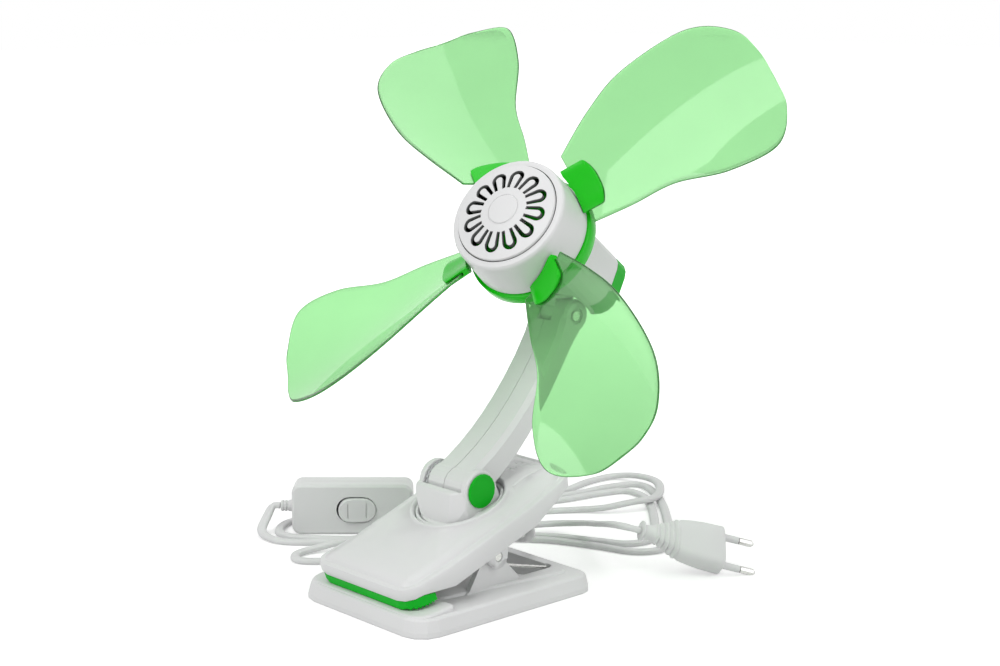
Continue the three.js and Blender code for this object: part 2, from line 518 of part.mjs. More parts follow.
// seat of the toothed detent ring on the left of the root knuckle
const detentT = 1.6;
armSolid = cut(armSolid, rod('x', armRoom + 0.3, -arm.halfX - 1, -arm.halfX + detentT + GAP, [0, 0], 24));
const screwX = -arm.halfX + 2.6;
bossAt.forEach((p) => {
  armSolid = cut(armSolid, rod('x', 1.25, -20, arm.halfX - 3, [p.y, p.z], 12),
    rod('x', 2.6, -20, screwX, [p.y, p.z], 14));
});
piece(armGroup, 'arm_shell_left', cut(armSolid, box(-GAP / 2, 40, -40, 120, -40, 140)), 'white');
piece(armGroup, 'arm_shell_right', cut(armSolid, box(-40, GAP / 2, -40, 120, -40, 140)), 'white');
bossAt.forEach((p, i) => {
  const body = join(rod('x', 2.2, screwX - 2.1, screwX - 0.3, [p.y, p.z], 12),
    rod('x', 0.95, screwX - 0.5, arm.halfX - 4, [p.y, p.z], 10));
  piece(armGroup, `arm_screw_${i + 1}`, cut(body, box(screwX - 4, screwX - 1.4, p.y - 0.3, p.y + 0.3,
    p.z - 1.7, p.z + 1.7)), 'steel');
});
const detent = new THREE.Shape();
const teeth = 20;
for (let i = 0; i < teeth * 2; i += 1) {
  const a = (i / teeth) * Math.PI;
  const r = armRoom - GAP - (i % 2 ? 0.75 : 0);
  if (i === 0) detent.moveTo(r * Math.cos(a), r * Math.sin(a));
  else detent.lineTo(r * Math.cos(a), r * Math.sin(a));
}
detent.holes.push(new THREE.Path().absarc(0, 0, arm.boltR + GAP, 0, 2 * Math.PI, true));
piece(armGroup, 'detent_ring', slabX(detent, -arm.halfX + 0.1, -arm.halfX + detentT), 'grey');
piece(armGroup, 'head_pin', rod('x', arm.pinR, -arm.halfX + 0.4, arm.halfX - 0.4, [tip.y, tip.z], 20), 'steel');

// ---------------------------------------------------------------- neck: tilts in the fork, carries the upright swivel
const neckGroup = new THREE.Group();
neckGroup.position.set(0, tip.y, tip.z);
armGroup.add(neckGroup);
const discTop = neck.discZ + neck.discT;
const bossFloor = discTop + 0.4;
const bossTop = bossFloor + 2.2;
let neckBody = join(rod('x', neck.knuckleR, -neck.tongue, neck.tongue, [0, 0], 32),
  box(-neck.tongue, neck.tongue, -6.5, 6.5, 0, neck.discZ + 0.5),
  turned('z', [[0, neck.discZ], [neck.discR - 0.8, neck.discZ], [neck.discR, neck.discZ + 0.8],
    [neck.discR, discTop], [0, discTop]], [0, 0, 0], 28),
  rod('z', neck.stemR, discTop - 0.5, bossTop + 0.6, [0, 0], 24));
neckBody = cut(neckBody, rod('x', arm.pinR + 0.15, -10, 10, [0, 0], 20),
  rod('z', 1.7, discTop - 3.5, bossTop + 3, [0, 0], 14));
piece(neckGroup, 'head_neck', neckBody, 'white');
const swivelGroup = new THREE.Group();
swivelGroup.rotation.z = head.swivel * DEG;
neckGroup.add(swivelGroup);
piece(neckGroup, 'neck_washer', cut(rod('z', 7, bossTop + 0.9, bossTop + 2.1, [0, 0], 24),
  rod('z', 1.9, bossTop, bossTop + 4, [0, 0], 14)), 'steel');
piece(neckGroup, 'neck_screw', (() => {
  const body = join(rod('z', 3.2, bossTop + 2.4, bossTop + 4.2, [0, 0], 16),
    rod('z', 1.4, discTop - 2.5, bossTop + 2.6, [0, 0], 12));
  return cut(body, box(-2.2, 2.2, -0.35, 0.35, bossTop + 3.2, bossTop + 5));
})(), 'steel');

// ---------------------------------------------------------------- head frame: X right, Y up the head, Z along the fan axis
const headGroup = new THREE.Group();
headGroup.rotation.x = (90 - head.lift) * DEG;
swivelGroup.add(headGroup);
const axisY = head.axisRise;
// bodies of revolution about the fan axis
const spun = (profile, sides = 32) => turned('z', profile, [0, axisY, 0], sides);
// bodies of revolution about the upright swivel axis, seen from the head frame
const upright = (profile, sides = 36) => solid(new THREE.LatheGeometry(
  profile.map(([r, h]) => new THREE.Vector2(r, h)), facets(sides)).rotateX(Math.PI / 2).rotateX(-(90 - head.lift) * DEG));
const uprightRod = (r, a, b, sides = 36) => upright([[0, a], [r, a], [r, b], [0, b]], sides);

// housing section: half width, top and bottom at a station along the axis
const coreY = (v) => axisY + v;
const houseRing = (z, inset) => {
  const t = (z - house.end) / (house.front - house.end);
  const hx = house.halfX - 1.6 * t - inset;
  const top = house.top - 0.8 * t - inset;
  const low = house.bottom + 1.2 * t + inset;
  const corner = (sx, sy) => Math.max((sy > 0 ? house.corner : house.corner + 2) - inset, 1);
  const out = [];
  [[1, 1, 0], [-1, 1, 90], [-1, -1, 180], [1, -1, 270]].forEach(([sx, sy, start]) => {
    const r = corner(sx, sy);
    const cx = sx * (hx - r);
    const cy = (sy > 0 ? top - r : low + r);
    for (let i = 0; i <= 4; i += 1) {
      const a = (start + 22.5 * i) * DEG;
      out.push(V(cx + r * Math.cos(a), axisY + cy + r * Math.sin(a), z));
    }
  });
  return out;
};
const houseOuter = loft([houseRing(house.end, 1.8), houseRing(house.end + 0.6, 0.7), houseRing(house.end + 1.8, 0),
  houseRing(house.front - 1.5, 0), houseRing(house.front - 0.4, 0.6), houseRing(house.front, 1.6)]);
const houseInner = loft([houseRing(house.end + house.wall, house.wall), houseRing(house.front - house.wall, house.wall)]);
const after = (z) => box(-60, 60, -60, 80, z, 120);
const before = (z) => box(-60, 60, -60, 80, -60, z);
const boss = uprightRod(neck.recessR + house.wall, -30, bossTop).intersect(houseOuter);
const bossClear = uprightRod(neck.recessR + house.wall + GAP, -30, bossTop + GAP);
const forkRecess = uprightRod(neck.recessR, -40, bossFloor);
const shaftHole = spun([[0, 0], [7.5, 0], [7.5, 80], [0, 80]], 32);
let housing = join(cut(houseOuter, houseInner, before(house.split)), boss);
housing = cut(housing, forkRecess, uprightRod(neck.stemR + 0.25, 0, 40, 24), cut(shaftHole, before(core.front + 0.4)));
// cooling slots in the underside, clear of the swivel recess
[-18, -9, 0, 9, 18].forEach((x) => {
  housing = cut(housing, box(x - 1.6, x + 1.6, -20, axisY - 8, 30, 36.5));
});
const lip = cut(join(loft([houseRing(house.split - 3, house.wall + GAP), houseRing(house.split + 2, house.wall + GAP)]),
  loft([houseRing(house.split - 3, house.wall - 0.6), houseRing(house.split - GAP, house.wall - 0.6)])),
  loft([houseRing(house.split - 5, house.wall * 2), houseRing(house.split + 4, house.wall * 2)]));
let rearCap = join(cut(houseOuter, houseInner, after(house.split - GAP)), lip);
rearCap = cut(rearCap, bossClear, forkRecess);
const capSlots = [-12, -8, -4, 0, 4, 8, 12];
capSlots.forEach((x) => {
  rearCap = cut(rearCap, box(x - 0.9, x + 0.9, axisY + 1, axisY + 11, house.end - 5, house.end + 4));
});
const capScrewX = 19.6;
[-1, 1].forEach((side) => {
  const at = [side * capScrewX, axisY + 3];
  const post = rod('z', 3, house.split + 0.3, house.split + 6, at, 16);
  const strapX = [side * capScrewX, side * (house.halfX + 1.5)].sort((a, b) => a - b);
  const strap = box(strapX[0], strapX[1],
    axisY + 2, axisY + 4, house.split + 2.4, house.split + 6).intersect(houseOuter);
  housing = cut(join(housing, post, strap), rod('z', 1.2, house.split - 1, house.split + 5.4, at, 12));
  const capPost = cut(rod('z', 3.6, house.end + 1, house.split - GAP, at, 16), rod('z', 2.6, house.end - 5, house.end + 2.4, at, 16));
  rearCap = cut(join(rearCap, capPost), bossClear, rod('z', 1.3, house.end - 5, house.split + 5, at, 12), rod('z', 2.6, house.end - 5, house.end + 2.4, at, 16));
  piece(headGroup, `cap_screw_${side < 0 ? 'left' : 'right'}`, (() => {
    const body = join(rod('z', 2.3, house.end + 0.6, house.end + 2.1, at, 14),
      rod('z', 0.95, house.end + 2, house.split + 5, at, 10));
    return cut(body, box(at[0] - 1.7, at[0] + 1.7, at[1] - 0.3, at[1] + 0.3, house.end, house.end + 1.4));
  })(), 'steel');
});
// ribs that hold the motor's laminations above and below
[core.left + 4, core.right - 4].forEach((x) => {
  [[coreY(core.half) + GAP, coreY(30)], [coreY(-30), coreY(-core.half) - GAP]].forEach(([y0, y1]) => {
    housing = join(housing, box(x - 1.2, x + 1.2, y0, y1, house.split + 6.5, core.front).intersect(houseOuter));
  });
});
housing = cut(housing, forkRecess);
piece(headGroup, 'motor_housing', housing, 'white');
piece(headGroup, 'rear_cap', rearCap, 'green');

// ---------------------------------------------------------------- shaded-pole motor inside the housing
const legEnd = core.left + core.leg;
let stator = box(core.left, core.right, coreY(-core.half), coreY(core.half), core.back, core.front);
stator = cut(stator,
  spun([[0, core.back - 1], [core.bore, core.back - 1], [core.bore, core.front + 1], [0, core.front + 1]], 28),
  box(legEnd, -core.bore - 2.2, coreY(-core.half + 2.4), coreY(core.half - 2.4), core.back - 1, core.front + 1),
  box(core.bore - 1, core.right + 1, coreY(-0.7), coreY(0.7), core.back - 1, core.front + 1));
piece(headGroup, 'stator_core', stator, 'core');
piece(headGroup, 'motor_coil', cut(
  box(core.left - core.coil - GAP, legEnd + core.coil + GAP, coreY(-core.half + 2.7), coreY(core.half - 2.7),
    core.back - core.coil - GAP, core.front + core.coil + GAP),
  box(core.left - GAP, legEnd + GAP, coreY(-14), coreY(14), core.back - GAP, core.front + GAP)), 'copper');
const bearing = (z0, z1) => spun([[shaftR + 0.15, z0], [5, z0], [5, z1], [shaftR + 0.15, z1], [shaftR + 0.15, z0]], 16);
const bridge = (z0, z1, dir) => {
  const cupEnd = dir > 0 ? z1 + 3.4 : z0 - 3.4;
  const [c0, c1] = [Math.min(z0, cupEnd), Math.max(z1, cupEnd)];
  const bar = box(-12.6, 12.6, coreY(-4), coreY(4), z0, z1);
  const well = spun([[0, c0], [6.8, c0], [6.8, c1], [0, c1]], 16);
  return cut(join(bar, well), spun([[0, c0 - 1], [5 + GAP, c0 - 1], [5 + GAP, c1 + 1], [0, c1 + 1]], 16));
};
const rearBridgeZ = core.back - 2.4;
const frontBridgeZ = core.front + 0.8;
piece(headGroup, 'rear_bridge', bridge(rearBridgeZ, rearBridgeZ + 1.6, -1), 'steel');
piece(headGroup, 'front_bridge', bridge(frontBridgeZ, frontBridgeZ + 1.6, 1), 'steel');
piece(headGroup, 'rear_bearing', bearing(rearBridgeZ - 3.2, rearBridgeZ + 1.4), 'copper');
piece(headGroup, 'front_bearing', bearing(frontBridgeZ + 0.2, frontBridgeZ + 4.8), 'copper');

// ---------------------------------------------------------------- rotor: shaft, carrier ring, drum, vented face, blades
const rotor = new THREE.Group();
headGroup.add(rotor);
const shaftEnd = rearBridgeZ - 3.8;
piece(rotor, 'motor_shaft', spun([[0, shaftEnd], [shaftR, shaftEnd], [shaftR, 62], [0, 62]], 16), 'steel');
piece(rotor, 'rotor_core', spun([[shaftR + GAP, core.back + 0.6], [core.bore - 0.5, core.back + 0.6],
  [core.bore - 0.5, core.front - 0.6], [shaftR + GAP, core.front - 0.6], [shaftR + GAP, core.back + 0.6]], 20), 'core');

// blade surface: span u from the axis, chord v, root pitch eased towards the tip, camber h
const bladePoint = (phase, u, v, offset) => {
  const out = (u - 38) / 100;
  const beta = (blades.pitch + blades.twist * out + blades.ease * out * out) * DEG;
  const camber = (0.23 * v * v) / 40;
  const lift = camber + offset;
  const across = v * Math.cos(beta) - lift * Math.sin(beta);
  const plane = blades.plane + blades.rise * out + blades.droop * out * out;
  const along = plane + v * Math.sin(beta) + lift * Math.cos(beta);
  const [c, s] = [Math.cos(phase * DEG), Math.sin(phase * DEG)];
  return V(u * c - across * s, axisY + u * s + across * c, along);
};
const leading = new THREE.SplineCurve([[34, -13], [57, -15.4], [81, -16.8], [108.3, -26.3], [133.9, -26],
  [145.6, -6.2], [blades.tipR, 11]].map(([u, v]) => new THREE.Vector2(u, v)));
const trailing = new THREE.SplineCurve([[34, 23.5], [57, 37], [81.4, 46.7], [117.6, 50.4], [138.6, 41],
  [145.4, 26], [blades.tipR, 11]].map(([u, v]) => new THREE.Vector2(u, v)));
function bladeBody(phase, thick, t0, t1, spanSteps, chordSteps, widen = 0, rim = 0.35) {
  const sheet = (offset, inward) => {
    const rows = [];
    for (let i = 0; i <= spanSteps; i += 1) {
      const t = t0 + ((t1 - t0) * i) / spanSteps;
      const [a, b] = [leading.getPoint(t), trailing.getPoint(t)];
      const row = [];
      for (let j = 0; j <= chordSteps; j += 1) {
        const k = -widen + (1 + 2 * widen) * (j / chordSteps);
        const edge = (j === 0 || j === chordSteps || i === spanSteps) ? inward : 1;
        row.push(bladePoint(phase, a.x + (b.x - a.x) * k, a.y + (b.y - a.y) * k, offset * edge));
      }
      rows.push(row);
    }
    return rows;
  };
  const upper = sheet(thick / 2, rim);
  const lower = sheet(-thick / 2, rim);
  const pos = [];
  const idx = [];
  const cols = chordSteps + 1;
  const count = (spanSteps + 1) * cols;
  [...upper.flat(), ...lower.flat()].forEach((p) => pos.push(p.x, p.y, p.z));
  for (let i = 0; i < spanSteps; i += 1) {
    for (let j = 0; j < chordSteps; j += 1) {
      const a = i * cols + j;
      const [b, c, d] = [a + 1, a + cols, a + cols + 1];
      idx.push(a, c, b, b, c, d);
      idx.push(count + a, count + b, count + c, count + b, count + d, count + c);
    }
  }
  const wallStrip = (list) => {
    for (let k = 0; k + 1 < list.length; k += 1) {
      const [a, b] = [list[k], list[k + 1]];
      idx.push(a, b, count + b, a, count + b, count + a);
    }
  };
  const rowStart = (i) => Array.from({ length: cols }, (_, j) => i * cols + j);
  const colLine = (j) => Array.from({ length: spanSteps + 1 }, (_, i) => i * cols + j);
  wallStrip(rowStart(0));
  wallStrip(colLine(chordSteps));
  wallStrip(rowStart(spanSteps).reverse());
  wallStrip(colLine(0).reverse());
  const g = new THREE.BufferGeometry();
  g.setAttribute('position', new THREE.Float32BufferAttribute(pos, 3));
  g.setIndex(idx);
  return solid(g);
}

// carrier: ring at the rim, web and hub boss, and a thick clasp at each blade root
const ringMid = (ring.front + ring.rear) / 2;
let carrier = spun([[shaftR + 0.05, ring.rear + 1], [6.5, ring.rear + 1], [6.5, ring.rear + 3.4],
  [ring.outerR - ring.wall, ring.rear + 3.4], [ring.outerR - ring.wall, ring.rear], [ring.outerR - 0.6, ring.rear],
  [ring.outerR, ring.rear + 0.6], [ring.outerR, ring.front - 0.6], [ring.outerR - 0.6, ring.front],
  [ring.outerR - ring.wall, ring.front], [ring.outerR - ring.wall, ring.rear + 5.6], [6.5, ring.rear + 5.6],
  [6.5, 58], [shaftR + 0.05, 58], [shaftR + 0.05, ring.rear + 1]]);
function clasp(phase) {
  const ringAt = (u, edge) => {
    const out = [];
    const loop = [];
    const n = 4;
    for (let i = 0; i <= n; i += 1) loop.push([bracket.v0 + edge + (bracket.v1 - bracket.v0 - 2 * edge) * (i / n), 1]);
    for (let i = n; i >= 0; i -= 1) loop.push([bracket.v0 + edge + (bracket.v1 - bracket.v0 - 2 * edge) * (i / n), -1]);
    loop.forEach(([v, side]) => {
      const taper = 1 - 0.45 * Math.abs((2 * (v - bracket.v0)) / (bracket.v1 - bracket.v0) - 1) ** 3;
      out.push(bladePoint(phase, u, v, side * (bracket.thick / 2) * taper * (edge > 0 ? 0.8 : 1)));
    });
    return out;
  };
  return loft([ringAt(bracket.u0, 0), ringAt(bracket.u1 - 1.6, 0), ringAt(bracket.u1, 1.5)]);
}
const drumClear = spun([[0, ring.front - 0.01], [drum.rearR + GAP, ring.front - 0.01], [drum.rearR + GAP, 90], [0, 90]]);
const phases = Array.from({ length: blades.count }, (_, i) => blades.phase + (360 / blades.count) * i);
phases.forEach((phase) => { carrier = join(carrier, cut(clasp(phase), drumClear)); });
phases.forEach((phase) => { carrier = cut(carrier, bladeBody(phase, blades.thick + 2 * GAP, 0, 0.2, 2, 6, 0.02, 1)); });
piece(rotor, 'blade_carrier', carrier, 'green');
phases.forEach((phase, i) => {
  const body = bladeBody(phase, blades.thick, 0.012, 0.985, 12, 6);
  piece(rotor, `blade_${i + 1}`, body, 'blade');
});

// drum: open at its front face, closed by the vented face
const faceZ = 74;
const ledge = 1.9;
const drumBody = spun([
  [drum.rearR - drum.wall, drum.rear], [drum.rearR, drum.rear], [drum.frontR, drum.front - 3.6],
  [drum.frontR - 0.5, drum.front - 1.7], [drum.frontR - 1.7, drum.front - 0.4], [drum.faceR + 0.4, drum.front],
  [drum.faceR, drum.front - 0.2], [drum.faceR, faceZ - ledge - GAP], [drum.faceR - 2.4, faceZ - ledge - GAP],
  [drum.faceR - 2.4, faceZ - ledge - GAP - 1.6], [drum.frontR - drum.wall, faceZ - ledge - GAP - 3.4],
  [drum.rearR - drum.wall, drum.rear]]);
piece(rotor, 'hub_drum', drumBody, 'white');
const faceEdge = drum.faceR - GAP;
const bulge = (r) => faceZ + 0.4 + 3.5 * (1 - (r / faceEdge) ** 2);
let face = spun([[0, bulge(0) + 0.35 - 2.4], [14, bulge(14) - 2], [20, bulge(20) - 2],
  [faceEdge, faceZ - ledge], [faceEdge, faceZ], [faceEdge - 0.5, bulge(faceEdge - 0.5) + 0.1], [23, bulge(23)],
  [13, bulge(13)], [8.4, bulge(8.4)], [8, bulge(8) + 0.35],
  [0, bulge(0) + 0.35]]);
// U-shaped vents: each leaves a tongue that stays joined at its inner end
const ventShape = new THREE.Shape();
const vr = vents.halfOuter;
ventShape.moveTo(vents.inner, -vents.halfInner);
ventShape.lineTo(vents.outer - vr, -vr);
ventShape.absarc(vents.outer - vr, 0, vr, -Math.PI / 2, Math.PI / 2, false);
ventShape.lineTo(vents.inner, vents.halfInner);
ventShape.lineTo(vents.inner, vents.halfInner - vents.slot * 0.8);
ventShape.lineTo(vents.outer - vr, vr - vents.slot);
ventShape.absarc(vents.outer - vr, 0, vr - vents.slot, Math.PI / 2, -Math.PI / 2, true);
ventShape.lineTo(vents.inner, -vents.halfInner + vents.slot * 0.8);
for (let i = 0; i < vents.count; i += 1) {
  const g = new THREE.ExtrudeGeometry(ventShape, { depth: 12, bevelEnabled: false, curveSegments: 3 });
  g.rotateZ(((i + 0.5) / vents.count) * 2 * Math.PI).translate(0, axisY, faceZ - 5);
  face = cut(face, solid(g));
}
// hub socket behind the face, gripping the carrier boss
face = join(face, spun([[7, 60], [9, 60], [9, 76], [7, 76], [7, 60]], 20));
piece(rotor, 'hub_face', face, 'white');
piece(rotor, 'shaft_nut', cut(rod('z', 4.4, 58.3, 61.4, [0, axisY], 6), rod('z', shaftR + GAP, 50, 70, [0, axisY], 20)), 'steel');

// ---------------------------------------------------------------- in-line switch, standing on its long edge behind the fan
const switchGroup = new THREE.Group();
switchGroup.position.set(sw.at[0], sw.at[1], sw.at[2] + sw.height / 2);
switchGroup.rotation.z = sw.turn * DEG;
world.add(switchGroup);
const roundedRect = (hx, hy, r) => {
  const s = new THREE.Shape();
  s.moveTo(-hx + r, -hy);
  s.lineTo(hx - r, -hy).absarc(hx - r, -hy + r, r, -Math.PI / 2, 0);
  s.lineTo(hx, hy - r).absarc(hx - r, hy - r, r, 0, Math.PI / 2);
  s.lineTo(-hx + r, hy).absarc(-hx + r, hy - r, r, Math.PI / 2, Math.PI);
  s.lineTo(-hx, -hy + r).absarc(-hx + r, -hy + r, r, Math.PI, Math.PI * 1.5);
  return s;
};
// shape drawn in (X, Z) of the switch, extruded along its depth Y
function slabY(shape, y0, y1, edge = 0, segments = 4) {
  const g = new THREE.ExtrudeGeometry(shape, {
    depth: y1 - y0 - 2 * edge, bevelEnabled: edge > 0, bevelSize: edge, bevelThickness: edge,
    bevelOffset: -edge, bevelSegments: 1, curveSegments: segments,
  });
  return solid(g.rotateX(Math.PI / 2).translate(0, y1 - edge, 0));
}
const swHalf = sw.length / 2;
const caseAll = slabY(roundedRect(swHalf, sw.height / 2, sw.corner), -sw.depth / 2, sw.depth / 2, 1.4);
const caseRoom = slabY(roundedRect(swHalf - 6, sw.height / 2 - 2.4, 2.5), -sw.depth / 2 + 2, sw.depth / 2 - 2);
const lid = -sw.depth / 2 + sw.split;
const sideOf = (y0, y1) => box(-60, 60, y0, y1, -40, 40);
const stadium = (hx, hz) => {
  const s = new THREE.Shape();
  s.moveTo(-hx + hz, -hz);
  s.lineTo(hx - hz, -hz).absarc(hx - hz, 0, hz, -Math.PI / 2, Math.PI / 2);
  s.lineTo(-hx + hz, hz).absarc(-hx + hz, 0, hz, Math.PI / 2, Math.PI * 1.5);
  return s;
};
const rockerHole = slabY(stadium(rocker.halfX + 0.7, rocker.halfZ + 0.7), -30, 0);
const entry = (grow) => join(rod('x', 3.6 + grow, -swHalf - 5, -swHalf + 9, [0, 0], 16), rod('x', 3.6 + grow, swHalf - 9, swHalf + 5, [0, 0], 16));
const rimRoom = slabY(roundedRect(rocker.halfX + 2.6, rocker.halfZ + 2.2, 3), -sw.depth / 2 + 2, lid - 0.1);
const postsAt = [[-swHalf + 12, 8.2], [swHalf - 12, -8.2]];
const frontCase = cut(caseAll, sideOf(lid - GAP / 2, 40), cut(caseRoom, sideOf(-30, -sw.depth / 2 + 2)),
  rockerHole.translate([rocker.x, 0, 0]), entry(GAP));
const rearCase = cut(caseAll, sideOf(-40, lid + GAP / 2), caseRoom, entry(GAP));
const rearPosts = postsAt.map(([x, z]) => cut(rod('y', 2.8, lid + GAP / 2, sw.depth / 2 - 1, [x, z], 14)));
const withPosts = cut(join(rearCase, ...rearPosts), ...postsAt.flatMap(([x, z]) => [
  rod('y', 1.2, lid - 2, sw.depth / 2 + 1, [x, z], 12), rod('y', 2.5, sw.depth / 2 - 2, sw.depth / 2 + 1, [x, z], 14)]));
const frontPosts = postsAt.map(([x, z]) => rod('y', 2.8, -sw.depth / 2 + 1, lid - GAP / 2, [x, z], 14));
const withFrontPosts = cut(join(frontCase, ...frontPosts),
  ...postsAt.map(([x, z]) => rod('y', 1.1, -sw.depth / 2 + 3, lid + 1, [x, z], 12)));
piece(switchGroup, 'switch_front', withFrontPosts, 'white');
piece(switchGroup, 'switch_rear', withPosts, 'white');
postsAt.forEach(([x, z], i) => {
  const body = join(rod('y', 2.2, sw.depth / 2 - 1.8, sw.depth / 2 - 0.4, [x, z], 12),
    rod('y', 0.85, -sw.depth / 2 + 4, sw.depth / 2 - 1.6, [x, z], 10));
  piece(switchGroup, `switch_screw_${i + 1}`, body, 'steel');
});
// rocker on a cross pin through its own centre, one end pressed in
const rockerGroup = new THREE.Group();
rockerGroup.position.set(rocker.x, -sw.depth / 2 + 5.2, 0);
rockerGroup.rotation.z = rocker.rock * DEG;
switchGroup.add(rockerGroup);
let rockerBody = slabY(stadium(rocker.halfX, rocker.halfZ), -5.2 - rocker.stand, -2.4, 0.6, 5);
rockerBody = join(rockerBody, box(-1.6, 1.6, -3, 1.6, -rocker.halfZ + 1.2, rocker.halfZ - 1.2));
[-1, 1].forEach((side) => {
  rockerBody = cut(rockerBody, box(side * 5.2 - 0.35, side * 5.2 + 0.35, -9, -5.2 - rocker.stand + 0.5, -4, 4));
});
piece(rockerGroup, 'switch_rocker', rockerBody, 'white');
// ribbed strain reliefs at both ends
[-1, 1].forEach((side) => {
  const x = side * (swHalf - 8);
  const out = side * (swHalf + sw.relief);
  const profile = [[0, 0], [3.4, 0], [3.4, 3], [2.9, 3], [2.9, 4.6], [3.4, 4.6], [3.4, 10.5]];
  for (let k = 0; k < 2; k += 1) profile.push([2.9, 10.5 + k * 2], [2.9, 11.5 + k * 2], [3.3, 11.5 + k * 2], [3.3, 12.5 + k * 2]);
  profile.push([2.7, sw.relief + 8], [0, sw.relief + 8]);
  const body = turned('x', profile.map(([r, h]) => [r, h]), [0, 0, 0], 16);
  const holder = new THREE.Group();
  holder.position.set(x, 0, 0);
  if (side < 0) holder.rotation.z = Math.PI;
  switchGroup.add(holder);
  piece(holder, side < 0 ? 'switch_relief_plug_side' : 'switch_relief_fan_side', body, 'white');
});

// ---------------------------------------------------------------- flat plug with two sleeved pins, propped on the coil
const plugGroup = new THREE.Group();
plugGroup.position.set(...plug.at);
const plugZ = plug.dir.clone();
const plugX = plug.across.clone().addScaledVector(plugZ, -plug.across.dot(plugZ)).normalize();
plugGroup.setRotationFromMatrix(new THREE.Matrix4().makeBasis(plugX, new THREE.Vector3().crossVectors(plugZ, plugX), plugZ));
world.add(plugGroup);
const plugRing = (z, hx, hy, power = 0.5) => Array.from({ length: 16 }, (_, i) => {
  const a = (i / 16) * 2 * Math.PI;
  const [c, s] = [Math.cos(a), Math.sin(a)];
  return V(hx * Math.sign(c) * Math.abs(c) ** power, hy * Math.sign(s) * Math.abs(s) ** power, z);
});
const plugRings = [plugRing(0, 5.6, 5.2, 1), plugRing(1.6, 5.6, 5.2, 1), plugRing(1.7, 3.6, 3.4, 0.9), plugRing(6, 4.0, 3.8, 0.85)];
const ribFrom = 8;
for (let k = 0; k < 5; k += 1) {
  const z = ribFrom + k * 2.6;
  const grow = k * 1.35;
  plugRings.push(plugRing(z, 5 + grow, 4.2 + grow * 0.42, 0.75), plugRing(z + 1.5, 5.6 + grow, 4.5 + grow * 0.42, 0.72),
    plugRing(z + 1.6, 5 + grow, 4.1 + grow * 0.42, 0.72));
}
plugRings.push(plugRing(ribFrom + 14, 11.6, 6.2, 0.6), plugRing(plug.length - 12, 12.8, 6.7, 0.45),
  plugRing(plug.length - 1, plug.width / 2, plug.depth / 2, 0.42), plugRing(plug.length, plug.width / 2 - 1, plug.depth / 2 - 1, 0.45));
let plugBody = loft(plugRings);
[-1, 1].forEach((side) => {
  const at = [(side * plug.pinGap) / 2, 0];
  plugBody = cut(join(plugBody, rod('z', plug.pinR, plug.length - 1, plug.length + plug.sleeve, at, 14)),
    rod('z', plug.pinR - 0.45, plug.length - 8, plug.length + plug.sleeve + 1, at, 14));
});
piece(plugGroup, 'plug_body', plugBody, 'white');
[-1, 1].forEach((side) => {
  const at = [(side * plug.pinGap) / 2, 0, plug.length];
  const r = plug.pinR - 0.05;
  piece(plugGroup, side < 0 ? 'plug_pin_lower' : 'plug_pin_upper', turned('z', [[0, -7], [plug.pinR - 0.75, -7],
    [plug.pinR - 0.75, plug.sleeve + GAP], [r, plug.sleeve + GAP], [r, plug.pinLength - 1.6],
    [r - 1.1, plug.pinLength - 0.3], [0, plug.pinLength]], at, 12), 'steel');
});

// ---------------------------------------------------------------- flat two-core cord
// r runs along the coil, f away from the fan, h above the floor
const view = 47.5 * DEG;
const ground = (r, f, h) => V(r * Math.cos(view) - f * Math.sin(view), r * Math.sin(view) + f * Math.cos(view), h);
const laid = lead.thick / 2;
function flatCord(points) {
  const n = points.length;
  const sections = points.map((p, i) => {
    const along = points[Math.min(i + 1, n - 1)].clone().sub(points[Math.max(i - 1, 0)]).normalize();
    const side = new THREE.Vector3().crossVectors(along, V(0, 0, 1)).normalize();
    const up = new THREE.Vector3().crossVectors(side, along).normalize();
    const [hw, ht] = [lead.width / 2, lead.thick / 2];
    return [[1, 0.42], [0.72, 1], [-0.72, 1], [-1, 0.42], [-1, -0.42], [-0.72, -1], [0.72, -1], [1, -0.42]]
      .map(([a, b]) => p.clone().addScaledVector(side, a * hw).addScaledVector(up, b * ht));
  });
  return loft(sections);
}
const lengthOf = (points) => points.slice(1).reduce((sum, p, i) => sum + p.distanceTo(points[i]), 0);
// a ring wherever the cord has turned by the given angle, or has run far enough
const rings = (controls, turn = 24, run = 26) => {
  const fine = new THREE.CatmullRomCurve3(controls, false, 'centripetal').getSpacedPoints(700);
  const kept = [fine[0]];
  let heading = fine[1].clone().sub(fine[0]).normalize();
  for (let i = 1; i < fine.length - 1; i += 1) {
    const now = fine[i + 1].clone().sub(fine[i]).normalize();
    const gone = fine[i].distanceTo(kept[kept.length - 1]);
    const bent = gone > 4 && (now.angleTo(heading) > turn * DEG || gone > run);
    if (bent || (kept.length === 1 && gone > 2.5)) {
      kept.push(fine[i]);
      heading = now;
    }
  }
  kept.push(fine[fine.length - 1]);
  return kept;
};

// loops of the coil: an eye shape, narrow at the middle and full at the right end
const coilPoint = (deg) => {
  const turns = (deg - 180) / 360;
  const [u, v] = [Math.cos(deg * DEG), Math.sin(deg * DEG)];
  const flare = (u > 0 ? 112 - 24 * turns : Math.min(0, 10 * Math.sign(v))) * Math.abs(u) ** 2.5;
  const half = (coil.waist - coil.tighten * (turns - 0.25) + flare) * Math.sign(v) * Math.abs(v) ** 0.6;
  const reach = (coil.reach - coil.shrink * (turns - 0.5)) * Math.sign(u) * Math.abs(u) ** 0.92
    * (u < 0 ? 0.97 : 1);
  return ground(coil.r0 + reach, coil.f0 + (u > 0 ? 11 : 21) * u + half, laid);
};
const reliefEnd = (side, gap) => {
  const reach = side * (sw.length / 2 + sw.relief + gap);
  return V(sw.at[0] + reach * Math.cos(view), sw.at[1] + reach * Math.sin(view), sw.height / 2);
};
const layer = laid + lead.thick + 0.45;
const coilLoops = [];
